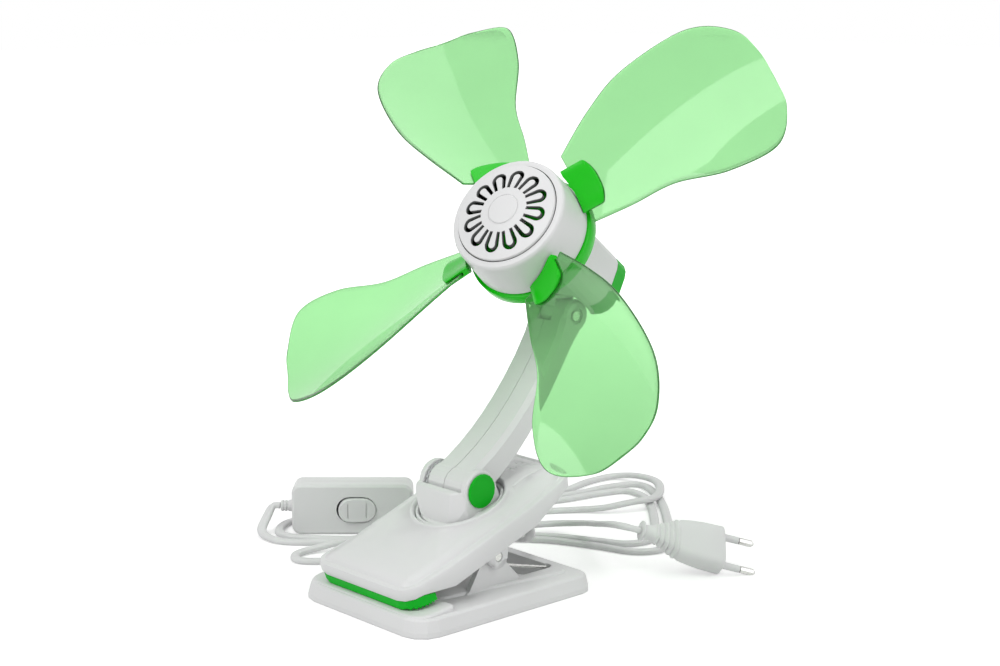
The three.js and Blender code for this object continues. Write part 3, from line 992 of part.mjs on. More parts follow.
for (let deg = coil.from; deg <= coil.to; deg += 15.75) coilLoops.push(coilPoint(deg));
const coilPath = rings([reliefEnd(-1, GAP), reliefEnd(-1, 4), ground(-107, 110, 8.5), ground(-107, 99, 3.2),
  ground(-96, 86, laid), ...coilLoops]);
// the next stretch starts face to face with the end of the one before it
const follow = (path) => {
  const end = path[path.length - 1];
  const dir = end.clone().sub(path[path.length - 2]).normalize();
  return [GAP, 4].map((d) => end.clone().addScaledVector(dir, d));
};
// the last loop turns back behind the fan, lies on the others at the right end and ends in a short bend at the left
const overPath = rings([...follow(coilPath),
  ...[[16, 153, laid], [-3, 150, 4.2], [-16, 155, layer], [-20, 171, layer], [-6, 180, 3],
    [18, 180, laid], [44, 179, laid], [64, 188, laid], [82, 211, laid], [98, 223, 2.2], [112, 216, 4.4],
    [122, 199, layer], [123, 176, layer], [117, 159, layer], [104, 151, layer], [88, 147, 3.2], [70, 148, laid],
    [46, 143, laid], [24, 127, laid], [7, 113, 4], [-8, 102, layer], [-32, 88, layer], [-56, 75.5, layer],
    [-72, 70, 2.8], [-83, 62, laid], [-82, 51, laid], [-68, 49, laid], [-46, 57, laid], [-20, 71, laid],
    [-2, 78, laid], [9, 79.4, 4.8], [18, 82, layer], [31, 93, layer], [43, 103, layer], [58, 107, layer], [70, 99, 8],
    [77, 80, 13.5], [79, 62, 18.5], [81, 45, 23.5], [86, 33, 26.8]].map((p) => ground(...p)),
  V(...plug.at).addScaledVector(plug.dir, -8), V(...plug.at).addScaledVector(plug.dir, -GAP)]);
// least clear space between two runs, with the place where it is, as (r, f, height)
const leastGap = (a, b, skip) => {
  let least = Infinity;
  let where = a[0];
  a.forEach((p, i) => b.forEach((q, j) => {
    if (a === b && Math.abs(i - j) < skip) return;
    const level = Math.hypot(p.x - q.x, p.y - q.y) - lead.width;
    const gap = Math.max(level, Math.abs(p.z - q.z) - lead.thick);
    if (gap < least) [least, where] = [gap, p];
  }));
  const r = where.x * Math.cos(view) + where.y * Math.sin(view);
  const f = where.y * Math.cos(view) - where.x * Math.sin(view);
  return `${least.toFixed(2)} at (${r.toFixed(0)}, ${f.toFixed(0)}, ${where.z.toFixed(1)})`;
};
const straightRuns = (points) => {
  const out = [];
  points.slice(1).forEach((q, i) => {
    const n = Math.ceil(points[i].distanceTo(q));
    for (let k = 0; k < n; k += 1) out.push(points[i].clone().lerp(q, k / n));
  });
  return out;
};
const [fineCoil, fineOver] = [straightRuns(coilPath), straightRuns(overPath)];
console.log(`cord: coil ${lengthOf(coilPath).toFixed(0)} mm, lead to plug ${lengthOf(overPath).toFixed(0)} mm`);
console.log('least gaps:', leastGap(fineCoil, fineCoil, 40), leastGap(fineOver, fineOver, 40), leastGap(fineCoil.slice(0, -9), fineOver, 0));
piece(world, 'cord_coil', flatCord(coilPath), 'cord');
piece(world, 'cord_plug_lead', flatCord(overPath), 'cord');

// lead from the fan: down from the gland under the jaw, then over the coil to the switch
piece(jawGroup, 'cord_gland', turned('z', [[0, gland.foot], [3.6, gland.foot], [3.6, gland.foot + 1.6],
  [gland.radius, gland.foot + 1.6], [gland.radius, gland.head - 0.6], [gland.radius - 0.6, gland.head],
  [0, gland.head]], [0, gland.y, 0], 18), 'white');
const jawPoint = (x, y, z) => {
  const [c, s] = [Math.cos(jaw.tilt * DEG), Math.sin(jaw.tilt * DEG)];
  return V(x, pin.y + y * c - z * s, pin.z + y * s + z * c);
};
const dropPath = rings([jawPoint(0, gland.y, gland.foot - GAP), jawPoint(0, gland.y, gland.foot - 8),
  V(-1, 57.5, 26), V(-7, 64.5, 15.5), V(-18, 68.5, 10.5)], 26, 22);
const fanPath = rings([...follow(dropPath), V(-34, 73.5, 10), V(-52, 76, 9.7),
  V(-70, 73.5, 10.8), reliefEnd(1, 5), reliefEnd(1, GAP)], 26, 22);
piece(world, 'cord_drop', flatCord(dropPath), 'cord');
piece(world, 'cord_fan_lead', flatCord(fanPath), 'cord');
console.log(`cord: drop ${lengthOf(dropPath).toFixed(0)} mm, fan lead ${lengthOf(fanPath).toFixed(0)} mm`);

// ---------------------------------------------------------------- clamp springs round the pivot pin
function clampSpring(side) {
  const sweep = 360 * (spring.turns + 1) + spring.last - spring.from;
  const count = Math.round((sweep / 360) * spring.steps);
  const at = (k) => {
    const a = (spring.from + (sweep * k) / count) * DEG;
    return V(side * (spring.x0 + (spring.pitch * sweep * k) / (360 * count)),
      pin.y + spring.radius * Math.cos(a), pin.z + spring.radius * Math.sin(a));
  };
  const helix = Array.from({ length: count + 1 }, (_, k) => at(k));
  const upper = jawPoint(side * spring.x0, 30, recess.floorZ - w - spring.wire / 2 - GAP);
  const lower = V(helix[count].x, base.slotY1 - 1.6, base.height + 0.4);
  const line = [upper, helix[0].clone().lerp(upper, 0.1), ...helix, helix[count].clone().lerp(lower, 0.1), lower];
  const r = spring.wire / 2;
  return loft(line.map((p, i) => {
    const along = line[Math.min(i + 1, line.length - 1)].clone().sub(line[Math.max(i - 1, 0)]).normalize();
    const out = V(1, 0, 0).addScaledVector(along, -along.x).normalize();
    const across = new THREE.Vector3().crossVectors(along, out);
    return Array.from({ length: 5 }, (_, k) => {
      const a = (k / 5) * 2 * Math.PI;
      return p.clone().addScaledVector(out, r * Math.cos(a)).addScaledVector(across, r * Math.sin(a));
    });
  }));
}
piece(world, 'clamp_spring_left', clampSpring(-1), 'steel');
piece(world, 'clamp_spring_right', clampSpring(1), 'steel');

export default group;
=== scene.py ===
"""A clip fan: green four-blade rotor on a white curved arm, clamp base, flat lead with switch and plug."""
import logging
import math
from dataclasses import dataclass, field
from enum import Enum
from typing import Callable, Iterable, Optional, Sequence

import bmesh
import bpy
from mathutils import Matrix, Vector


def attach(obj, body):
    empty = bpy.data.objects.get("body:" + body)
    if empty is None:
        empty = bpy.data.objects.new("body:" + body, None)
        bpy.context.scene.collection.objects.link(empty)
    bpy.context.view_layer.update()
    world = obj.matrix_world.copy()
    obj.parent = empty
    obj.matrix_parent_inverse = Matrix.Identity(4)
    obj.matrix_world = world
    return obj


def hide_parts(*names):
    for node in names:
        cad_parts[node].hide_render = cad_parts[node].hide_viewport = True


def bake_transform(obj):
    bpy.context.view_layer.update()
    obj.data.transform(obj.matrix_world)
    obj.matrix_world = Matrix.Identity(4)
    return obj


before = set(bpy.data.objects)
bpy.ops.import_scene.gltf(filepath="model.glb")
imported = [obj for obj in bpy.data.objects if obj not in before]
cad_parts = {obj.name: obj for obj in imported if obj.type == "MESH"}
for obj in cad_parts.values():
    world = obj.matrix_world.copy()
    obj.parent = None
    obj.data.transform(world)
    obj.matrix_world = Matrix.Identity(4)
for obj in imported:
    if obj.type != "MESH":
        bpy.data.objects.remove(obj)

log = logging.getLogger("clip_fan")
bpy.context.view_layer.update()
MM = 0.001
FULL_TURN = 2 * math.pi
Colour = tuple[float, float, float]
Pair = tuple[float, float]
Ring = list[Vector]
Shape = tuple[list[Vector], list[list[int]]]
Socket = bpy.types.NodeSocket
Piece = bpy.types.Object
ON_AXIS = 1e-6


# ---- frames of the fan's parts, in millimetres
def turn(axis: str, degrees: float) -> Matrix:
    """Rotation about the X, Y or Z axis."""
    return Matrix.Rotation(math.radians(degrees), 4, axis)


class Place:
    """Where each moving part's own axes stand at rest, in millimetres."""

    WORLD = Matrix.Identity(4)
    JAW = Matrix.Translation((0, 4.2, 26.4)) @ turn("X", 20)
    YOKE = JAW @ Matrix.Translation((0, 11, 0))
    ARM = YOKE @ Matrix.Translation((0, 1.9, 27.3)) @ turn("X", -20)
    NECK = ARM @ Matrix.Translation((0, 71.4, 80))
    HEAD = NECK @ turn("Z", 13.3) @ turn("X", 54.55)
    ROTOR = HEAD @ Matrix.Translation((0, 18.6, 0))
    SPIN = ROTOR.to_3x3() @ Vector((0, 0, 1))
    SWITCH = Matrix.Translation((-121, 34.2, 14.5)) @ turn("Z", 47.5)


class Body(Enum):
    """The bodies that move on their own."""

    BASE = "base"
    JAW = "jaw"
    YOKE = "yoke"
    ARM = "arm"
    NECK = "neck"
    HEAD = "head"
    ROTOR = "rotor"
    ROCKER = "rocker"


# ---- finishes
class Graph:
    """A shorthand for wiring one material's nodes."""

    def __init__(self, name: str) -> None:
        """Start an empty material with its Principled shader.

        Args:
            name: Name of the material.
        """
        self.material = bpy.data.materials.new(name)
        self.material.use_nodes = True
        self.nodes = self.material.node_tree.nodes
        self.links = self.material.node_tree.links
        self.shader = self.nodes["Principled BSDF"]
        self.where = self.nodes.new("ShaderNodeTexCoord").outputs["Object"]

    def add(self, kind: str, inputs: Optional[dict] = None, **settings: object) -> bpy.types.Node:
        """Add a node.

        Args:
            kind: Node type without its ShaderNode prefix.
            inputs: Socket name or index to a constant or an output socket.
            settings: Properties of the node itself.

        Returns:
            The node.
        """
        node = self.nodes.new("ShaderNode" + kind)
        for key, value in settings.items():
            setattr(node, key, value)
        for key, value in (inputs or {}).items():
            if isinstance(value, Socket):
                self.links.new(value, node.inputs[key])
            else:
                node.inputs[key].default_value = value
        return node

    def noise(self, scale: float, detail: float = 3.0, stretch: Optional[Colour] = None) -> Socket:
        """Noise of so many grains a metre, in the object's axes or a stretch of them."""
        at = self.add("Mapping", {"Vector": self.where, "Scale": stretch}).outputs["Vector"] if stretch else self.where
        return self.add("TexNoise", {"Vector": at, "Scale": scale, "Detail": detail}).outputs["Fac"]

    def spread(self, source: Socket, low: float, high: float, start: float = 0.3, end: float = 0.7) -> Socket:
        """Map a factor so that start gives low and end gives high, held level beyond both."""
        sockets = {"Value": source, "From Min": start, "From Max": end, "To Min": low, "To Max": high}
        return self.add("MapRange", sockets).outputs["Result"]

    def tint(self, factor: Socket, low: Colour, high: Colour) -> Socket:
        """Blend two colours by a factor; zero gives the first."""
        return self.add("Mix", {0: factor, 6: (*low, 1), 7: (*high, 1)}, data_type="RGBA").outputs[2]

    def set(self, **values: object) -> None:
        """Set the shader's sockets, constants on the socket itself; an underscore stands for a space."""
        for key, value in values.items():
            socket = self.shader.inputs[key.replace("_", " ")]
            if isinstance(value, Socket):
                self.links.new(value, socket)
            elif isinstance(value, tuple):
                socket.default_value = (*value, 1)
            else:
                socket.default_value = value

    def rounded(self, soft_edge: float) -> Socket:
        """Normal with edges softened over a radius in metres."""
        return self.add("Bevel", {"Radius": soft_edge}, samples=4).outputs["Normal"]

    def bump(self, height: Socket, depth: float, strength: float, **normal: Socket) -> None:
        """Raise relief of a depth in metres, on the shape's own normal or one given as Normal."""
        node = self.add("Bump", {"Height": height, "Distance": depth, "Strength": strength, **normal})
        self.set(Normal=node.outputs["Normal"])

    def worn_and_highlit_edges(self, soft_edge: float) -> Socket:
        """One where the surface turns over an edge, zero on flat ground."""
        pair = {0: self.rounded(soft_edge), 1: self.add("NewGeometry").outputs["Normal"]}
        return self.spread(self.add("VectorMath", pair, operation="DOT_PRODUCT").outputs["Value"], 1.0, 0.0, 0.8, 0.995)


@dataclass(frozen=True)
class Finish:
    """What every finish has."""

    name: str
    slot: str
    colour: Colour
    roughness: float

    def shade(self, factor: float) -> Colour:
        """The colour, lighter or darker by a factor."""
        return tuple(min(1.0, part * factor) for part in self.colour)

    def wire(self, graph: Graph) -> None:
        """Wire the finish into a material; each kind of finish has its own."""
        raise NotImplementedError

    def material(self) -> bpy.types.Material:
        """The finish as a material, made once."""
        made = bpy.data.materials.get(self.name)
        if made is None:
            graph = Graph(self.name)
            self.wire(graph)
            made = graph.material
        return made


@dataclass(frozen=True)
class MouldedPlastic(Finish):
    """Satin injection-moulded plastic with a fine spark-eroded grain and softly polished edges, lighter in colour as
    partly wear and partly painted highlight.
    """

    grain: float = 2600.0
    grain_depth: float = 0.000012
    soft_edge: float = 0.00045
    mottle: float = 0.025
    gloss: float = 0.32

    def wire(self, graph: Graph) -> None:
        """Wire colour drift, handling sheen, grain and edges."""
        drift = graph.noise(22.0, 2.0)
        colour = graph.tint(graph.spread(drift, 0.0, 1.0), self.shade(1 - self.mottle), self.colour)
        # Edges are lightened in colour, partly wear and partly painted highlight; the same mask lowers their roughness.
        edge = graph.worn_and_highlit_edges(self.soft_edge)
        ends = {0: edge, 6: colour, 7: (*self.shade(1 + self.mottle), 1)}
        mix = graph.add("Mix", ends, data_type="RGBA")
        flow = graph.spread(graph.noise(70.0, 3.0), self.roughness - 0.035, self.roughness + 0.05)
        polished = graph.add("Math", {0: edge, 1: -0.06, 2: flow}, operation="MULTIPLY_ADD").outputs[0]
        graph.set(Base_Color=mix.outputs[2], Roughness=polished, IOR=1.49, Specular_IOR_Level=self.gloss)
        graph.bump(graph.noise(self.grain, 2.0), self.grain_depth, 0.7, Normal=graph.rounded(self.soft_edge))


@dataclass(frozen=True)
class ClearPlastic(Finish):
    """Thin tinted plastic that light passes through."""

    transmission: float = 0.8
    ripple: float = 0.00003

    def wire(self, graph: Graph) -> None:
        """Wire the tint's drift, flow lines and slight ripple."""
        drift = graph.spread(graph.noise(26.0, 2.0), 0.0, 1.0)
        flow = graph.noise(160.0, 3.0, (1, 1, 0.25))
        graph.set(Base_Color=graph.tint(drift, self.shade(0.96), self.colour),
                  Roughness=graph.spread(flow, self.roughness * 0.7, self.roughness * 1.4),
                  Transmission_Weight=self.transmission, IOR=1.4, Specular_IOR_Level=0.35)
        graph.bump(graph.noise(45.0, 1.0), self.ripple, 0.5)


@dataclass(frozen=True)
class CordSkin(Finish):
    """Matt soft vinyl with a faint extruded grain and handling marks."""

    grain_depth: float = 0.00002

    def wire(self, graph: Graph) -> None:
        """Wire smudges, sheen and the extrusion's grain."""
        smudge = graph.spread(graph.noise(34.0, 3.0), 0.0, 1.0)
        graph.set(Base_Color=graph.tint(smudge, self.shade(0.94), self.colour),
                  Roughness=graph.spread(graph.noise(260.0, 2.0), self.roughness - 0.06, self.roughness + 0.06),
                  IOR=1.5)
        graph.bump(graph.noise(1500.0, 2.0), self.grain_depth, 0.6)


@dataclass(frozen=True)
class BareMetal(Finish):
    """Plated or drawn metal with fine draw marks."""

    marks: Colour = (1.0, 0.12, 1.0)
    mark_depth: float = 0.000008
    soft_edge: float = 0.0002

    def wire(self, graph: Graph) -> None:
        """Wire draw marks in sheen and relief."""
        streak = graph.noise(2200.0, 2.0, self.marks)
        graph.set(Base_Color=graph.tint(graph.spread(streak, 0.0, 1.0), self.shade(0.82), self.colour),
                  Metallic=1.0, Roughness=graph.spread(streak, self.roughness - 0.06, self.roughness + 0.08))
        graph.bump(streak, self.mark_depth, 0.7, Normal=graph.rounded(self.soft_edge))


@dataclass(frozen=True)
class Layered(Finish):
    """Metal in thin layers or turns: stacked sheets or wound wire."""

    pitch: float = 0.0005
    layer_depth: float = 0.0001
    gloss: float = 1.0

    def wire(self, graph: Graph) -> None:
        """Wire bands across the stack in colour, sheen and relief."""
        wave = {"Vector": graph.where, "Scale": 1.0 / (self.pitch * 6.28), "Distortion": 0.4, "Detail": 1.0}
        bands = graph.add("TexWave", wave, bands_direction="DIAGONAL").outputs["Fac"]
        graph.set(Base_Color=graph.tint(bands, self.shade(0.45), self.colour), Metallic=self.gloss,
                  Roughness=graph.spread(bands, self.roughness + 0.12, self.roughness))
        graph.bump(bands, self.layer_depth, 0.8)


WHITE = MouldedPlastic("white_moulding", "white_plastic", (0.775, 0.777, 0.78), 0.34)
GREEN = MouldedPlastic("green_moulding", "green_plastic", (0.002, 0.46, 0.014), 0.36, mottle=0.05, gloss=0.16)
RUBBER = MouldedPlastic("green_grip", "green_rubber", (0.003, 0.50, 0.02), 0.5, grain=1800.0, mottle=0.06, gloss=0.16)
GREY = MouldedPlastic("grey_moulding", "grey_plastic", (0.50, 0.50, 0.52), 0.42)
# The drum's inside and the back of the vented face are white plastic painted near-black: painted shade.
INSIDE_PAINTED_SHADE = MouldedPlastic("hub_inside_painted_shade", "white_plastic", (0.02, 0.02, 0.021), 0.7, gloss=0.05)
# The vents' walls are white plastic painted mid-grey: painted shade.
VENT_WALL_PAINTED_SHADE = MouldedPlastic("vent_walls_painted_shade", "white_plastic", (0.26, 0.26, 0.265), 0.5, gloss=0.1)
CARRIER = ClearPlastic("carrier_moulding", "green_plastic", (0.008, 0.62, 0.006), 0.22, transmission=0.1)
BLADE = ClearPlastic("blade_sheet", "blade_plastic", (0.30, 0.66, 0.29), 0.04, transmission=0.9)
BLADE_RIM = ClearPlastic("blade_rim", "blade_plastic", (0.05, 0.50, 0.05), 0.5, transmission=0.05)
CORD = CordSkin("cord_vinyl", "cord_plastic", (0.76, 0.76, 0.765), 0.5)
STEEL = BareMetal("plated_steel", "steel", (0.66, 0.66, 0.64), 0.26)
CORE = Layered("stacked_sheets", "lamination", (0.45, 0.45, 0.47), 0.42)
COPPER = Layered("wound_copper", "copper", (0.78, 0.36, 0.16), 0.32, pitch=0.0004)
BRONZE = BareMetal("bearing_bronze", "copper", (0.70, 0.45, 0.24), 0.38)


# ---- making meshes
def piece_from(name: str, points: Sequence[Vector], faces: Sequence[Sequence[int]], place: Matrix,
               crease: float = 32.0) -> Piece:
    """Make a smooth-shaded piece from points in millimetres.

    Args:
        name: Name of the piece.
        points: Corners in millimetres, in the axes of place.
        faces: Corner numbers of each face.
        place: The axes the points are in.
        crease: Edges sharper than this many degrees stay crisp.

    Returns:
        The piece, in metres at the world origin.
    """
    mesh = bpy.data.meshes.new(name)
    mesh.from_pydata([tuple((place @ p) * MM) for p in points], [], faces)
    mesh.validate()
    mesh.shade_smooth()
    mesh.set_sharp_from_angle(angle=math.radians(crease))
    mesh.update()
    made = bpy.data.objects.new(name, mesh)
    bpy.context.scene.collection.objects.link(made)
    return made


def oval(sides: int, half_x: float, half_y: float, power_x: float = 1.0, power_y: float = 1.0) -> list[Pair]:
    """Closed rounded outline about the origin.

    Args:
        sides: Number of its points.
        half_x: Half its width.
        half_y: Half its height.
        power_x: One gives an ellipse, less a squarer outline across.
        power_y: The same for its height.

    Returns:
        The points.
    """
    spots = []
    for k in range(sides):
        c, s = math.cos(FULL_TURN * k / sides), math.sin(FULL_TURN * k / sides)
        spots.append((half_x * math.copysign(abs(c)**power_x, c), half_y * math.copysign(abs(s)**power_y, s)))
    return spots


def hoop(at: Vector, across: Vector, up: Vector, radius: float, sides: int = 12) -> Ring:
    """Circle of points about a place, in the plane of two directions."""
    return [at + (across * x + up * y) * radius for x, y in oval(sides, 1, 1)]


def lofted(rings: Sequence[Ring]) -> Shape:
    """Skin a row of equal rings and close both ends.

    Args:
        rings: Rings of equally many points.

    Returns:
        The points and the faces.
    """
    around = len(rings[0])
    points = [p for ring in rings for p in ring]
    faces = []
    for i in range(len(rings) - 1):
        low, high = i * around, (i + 1) * around
        for j in range(around):
            k = (j + 1) % around
            faces.append([low + j, low + k, high + k, high + j])
    faces.append(list(reversed(range(around))))
    faces.append(list(range(len(points) - around, len(points))))
    return points, faces


def turned(profile: Sequence[Pair], sides: int = 96) -> Shape:
    """Revolve a closed or axis-to-axis profile about Z.

    Args:
        profile: Radius and height of each point; a radius of zero lies on the axis.
        sides: Number of sides.

    Returns:
        The points and the faces.
    """
    points: list[Vector] = []
    rows: list[list[int]] = []
    for radius, height in profile:
        ring = oval(sides, radius, radius) if radius > ON_AXIS else [(0, 0)]
        rows.append([len(points) + k % len(ring) for k in range(sides)])
        points += [Vector((x, y, height)) for x, y in ring]
    closed = profile[0][0] > ON_AXIS
    faces = []
    for i in range(len(rows) - (0 if closed else 1)):
        low, high = rows[i], rows[(i + 1) % len(rows)]
        for j in range(sides):
            k = (j + 1) % sides
            corners = [low[j], low[k], high[k], high[j]]
            faces.append([c for n, c in enumerate(corners) if c not in corners[:n]])
    return points, faces


def prism(outline: Sequence[Pair], low: float, high: float) -> Shape:
    """Raise an outline in X and Y from one height to another."""
    return lofted([[Vector((x, y, z)) for x, y in outline] for z in (low, high)])


def peg(name: str, radius: float, low: float, high: float, place: Matrix, sides: int = 96) -> Piece:
    """Solid cylinder along Z, from one height to another."""
    return piece_from(name, *turned([(0, low), (radius, low), (radius, high), (0, high)], sides), place)


def consistent(made: Piece) -> None:
    """Turn every face of a closed mesh outward.

    Args:
        made: The piece.
    """
    work = bmesh.new()
    work.from_mesh(made.data)
    bmesh.ops.remove_doubles(work, verts=work.verts, dist=1e-7)
    bmesh.ops.recalc_face_normals(work, faces=work.faces)
    work.to_mesh(made.data)
    work.free()


def carved(base: Piece, tools: Iterable[Piece], operation: str = "DIFFERENCE",
           crease: float = 32.0) -> Piece:
    """Cut tools from a piece, or join them to it, and drop the tools.

    Args:
        base: The piece that stays.
        tools: Closed pieces.
        operation: DIFFERENCE or UNION.
        crease: Edges sharper than this many degrees stay crisp.

    Returns:
        The piece.
    """
    tools = list(tools)
    for tool in [base, *tools]:
        consistent(tool)
    for tool in tools:
        step = base.modifiers.new("step", "BOOLEAN")
        step.operation = operation
        step.solver = "MANIFOLD"
        step.object = tool
    shape = bpy.data.meshes.new_from_object(base.evaluated_get(bpy.context.evaluated_depsgraph_get()))
    base.modifiers.clear()
    old = base.data
    base.data = shape
    bpy.data.meshes.remove(old)
    for tool in tools:
        bpy.data.meshes.remove(tool.data)
    shape.shade_smooth()
    shape.set_sharp_from_angle(angle=math.radians(crease))
    return base


def dressed(made: Piece, finish: Finish, *nodes: str) -> Piece:
    """Give a piece its finish, and let it stand for CAD nodes.

    Args:
        made: The piece.
        finish: Its finish.
        nodes: CAD nodes it replaces.

    Returns:
        The piece.
    """
    made.data.materials.clear()
    made.data.materials.append(finish.material())
    if nodes:
        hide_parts(*nodes)
    log.info("made %s", made.name)
    return made


def fitted(made: Piece, finish: Finish, body: Body, *nodes: str) -> Piece:
    """Put a piece on the body it moves with, then dress it."""
    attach(made, body.value)
    return dressed(made, finish, *nodes)


def finish_faces(made: Piece, finishes: Sequence[Finish], choose: Callable[[bpy.types.MeshPolygon], int]) -> None:
    """Give faces of a dressed piece other finishes.

    Args:
        made: The piece.
        finishes: The finishes after its first.
        choose: Gives the number of a face's finish, zero for the first.
    """
    for finish in finishes:
        made.data.materials.append(finish.material())
    for face in made.data.polygons:
        face.material_index = choose(face)


# ---- curves
def centripetal(controls: Sequence[Vector], spacing: float) -> list[Vector]:
    """Smooth curve through points, as evenly spaced points.

    Args:
        controls: Points to pass through.
        spacing: Distance between the points that come back.

    Returns:
        Points along the curve, both ends included.
    """
    first = controls[0] * 2 - controls[1]
    last = controls[-1] * 2 - controls[-2]
    all_points = [first, *controls, last]
    fine: list[Vector] = []
    for i in range(1, len(all_points) - 2):
        p0, p1, p2, p3 = all_points[i - 1:i + 3]
        d0, d1, d2 = ((b - a).length ** 0.5 for a, b in ((p0, p1), (p1, p2), (p2, p3)))
        t1 = ((p1 - p0) / d0 - (p2 - p0) / (d0 + d1) + (p2 - p1) / d1) * d1
        t2 = ((p2 - p1) / d1 - (p3 - p1) / (d1 + d2) + (p3 - p2) / d2) * d1
        steps = max(4, int((p2 - p1).length / spacing * 3))
        for k in range(steps):
            t = k / steps
            fine.append(p1 * (2 * t**3 - 3 * t**2 + 1) + t1 * (t**3 - 2 * t**2 + t)
                        + p2 * (3 * t**2 - 2 * t**3) + t2 * (t**3 - t**2))
    fine.append(controls[-1].copy())
    return evenly(fine, spacing)


def evenly(line: Sequence[Vector], spacing: float) -> list[Vector]:
    """Points at equal distances along a fine polyline.

    Args:
        line: The polyline.
        spacing: Wanted distance between points.

    Returns:
        Points, both ends included.
    """
    gone = [0.0]
    for a, b in zip(line, line[1:]):
        gone.append(gone[-1] + (b - a).length)
    count = max(2, round(gone[-1] / spacing))
    out = []
    at = 0
    for k in range(count + 1):
        want = gone[-1] * k / count
        while at < len(line) - 2 and gone[at + 1] < want:
            at += 1
        share = (want - gone[at]) / max(1e-9, gone[at + 1] - gone[at])
        out.append(line[at].lerp(line[at + 1], min(1.0, share)))
    return out


def headings(line: Sequence[Vector], closed: bool = False) -> list[Vector]:
    """Direction at each point of a line, from its neighbours.

    Args:
        line: The points.
        closed: Whether the last point is followed by the first.

    Returns:
        One direction a point.
    """
    ahead = [*line[1:], line[0 if closed else -1]]
    back = [line[-1 if closed else 0], *line[:-1]]
    return [(b - a).normalized() for a, b in zip(back, ahead)]


def flat_curve(marks: Sequence[Pair], share: float) -> Vector:
    """Point on a uniform spline through marks in a plane.

    Args:
        marks: Points to pass through.
        share: Zero at the first mark, one at the last.

    Returns:
        The point, with a third coordinate of zero.
    """
    at = (len(marks) - 1) * min(max(share, 0.0), 1.0)
    i = min(int(at), len(marks) - 2)
    t = at - i
    p0, p1, p2, p3 = (Vector((*marks[min(max(k, 0), len(marks) - 1)], 0)) for k in range(i - 1, i + 3))
    v0, v1 = (p2 - p0) / 2, (p3 - p1) / 2
    return (p1 * 2 - p2 * 2 + v0 + v1) * t**3 + (p2 * 3 - p1 * 3 - v0 * 2 - v1) * t**2 + v0 * t + p1


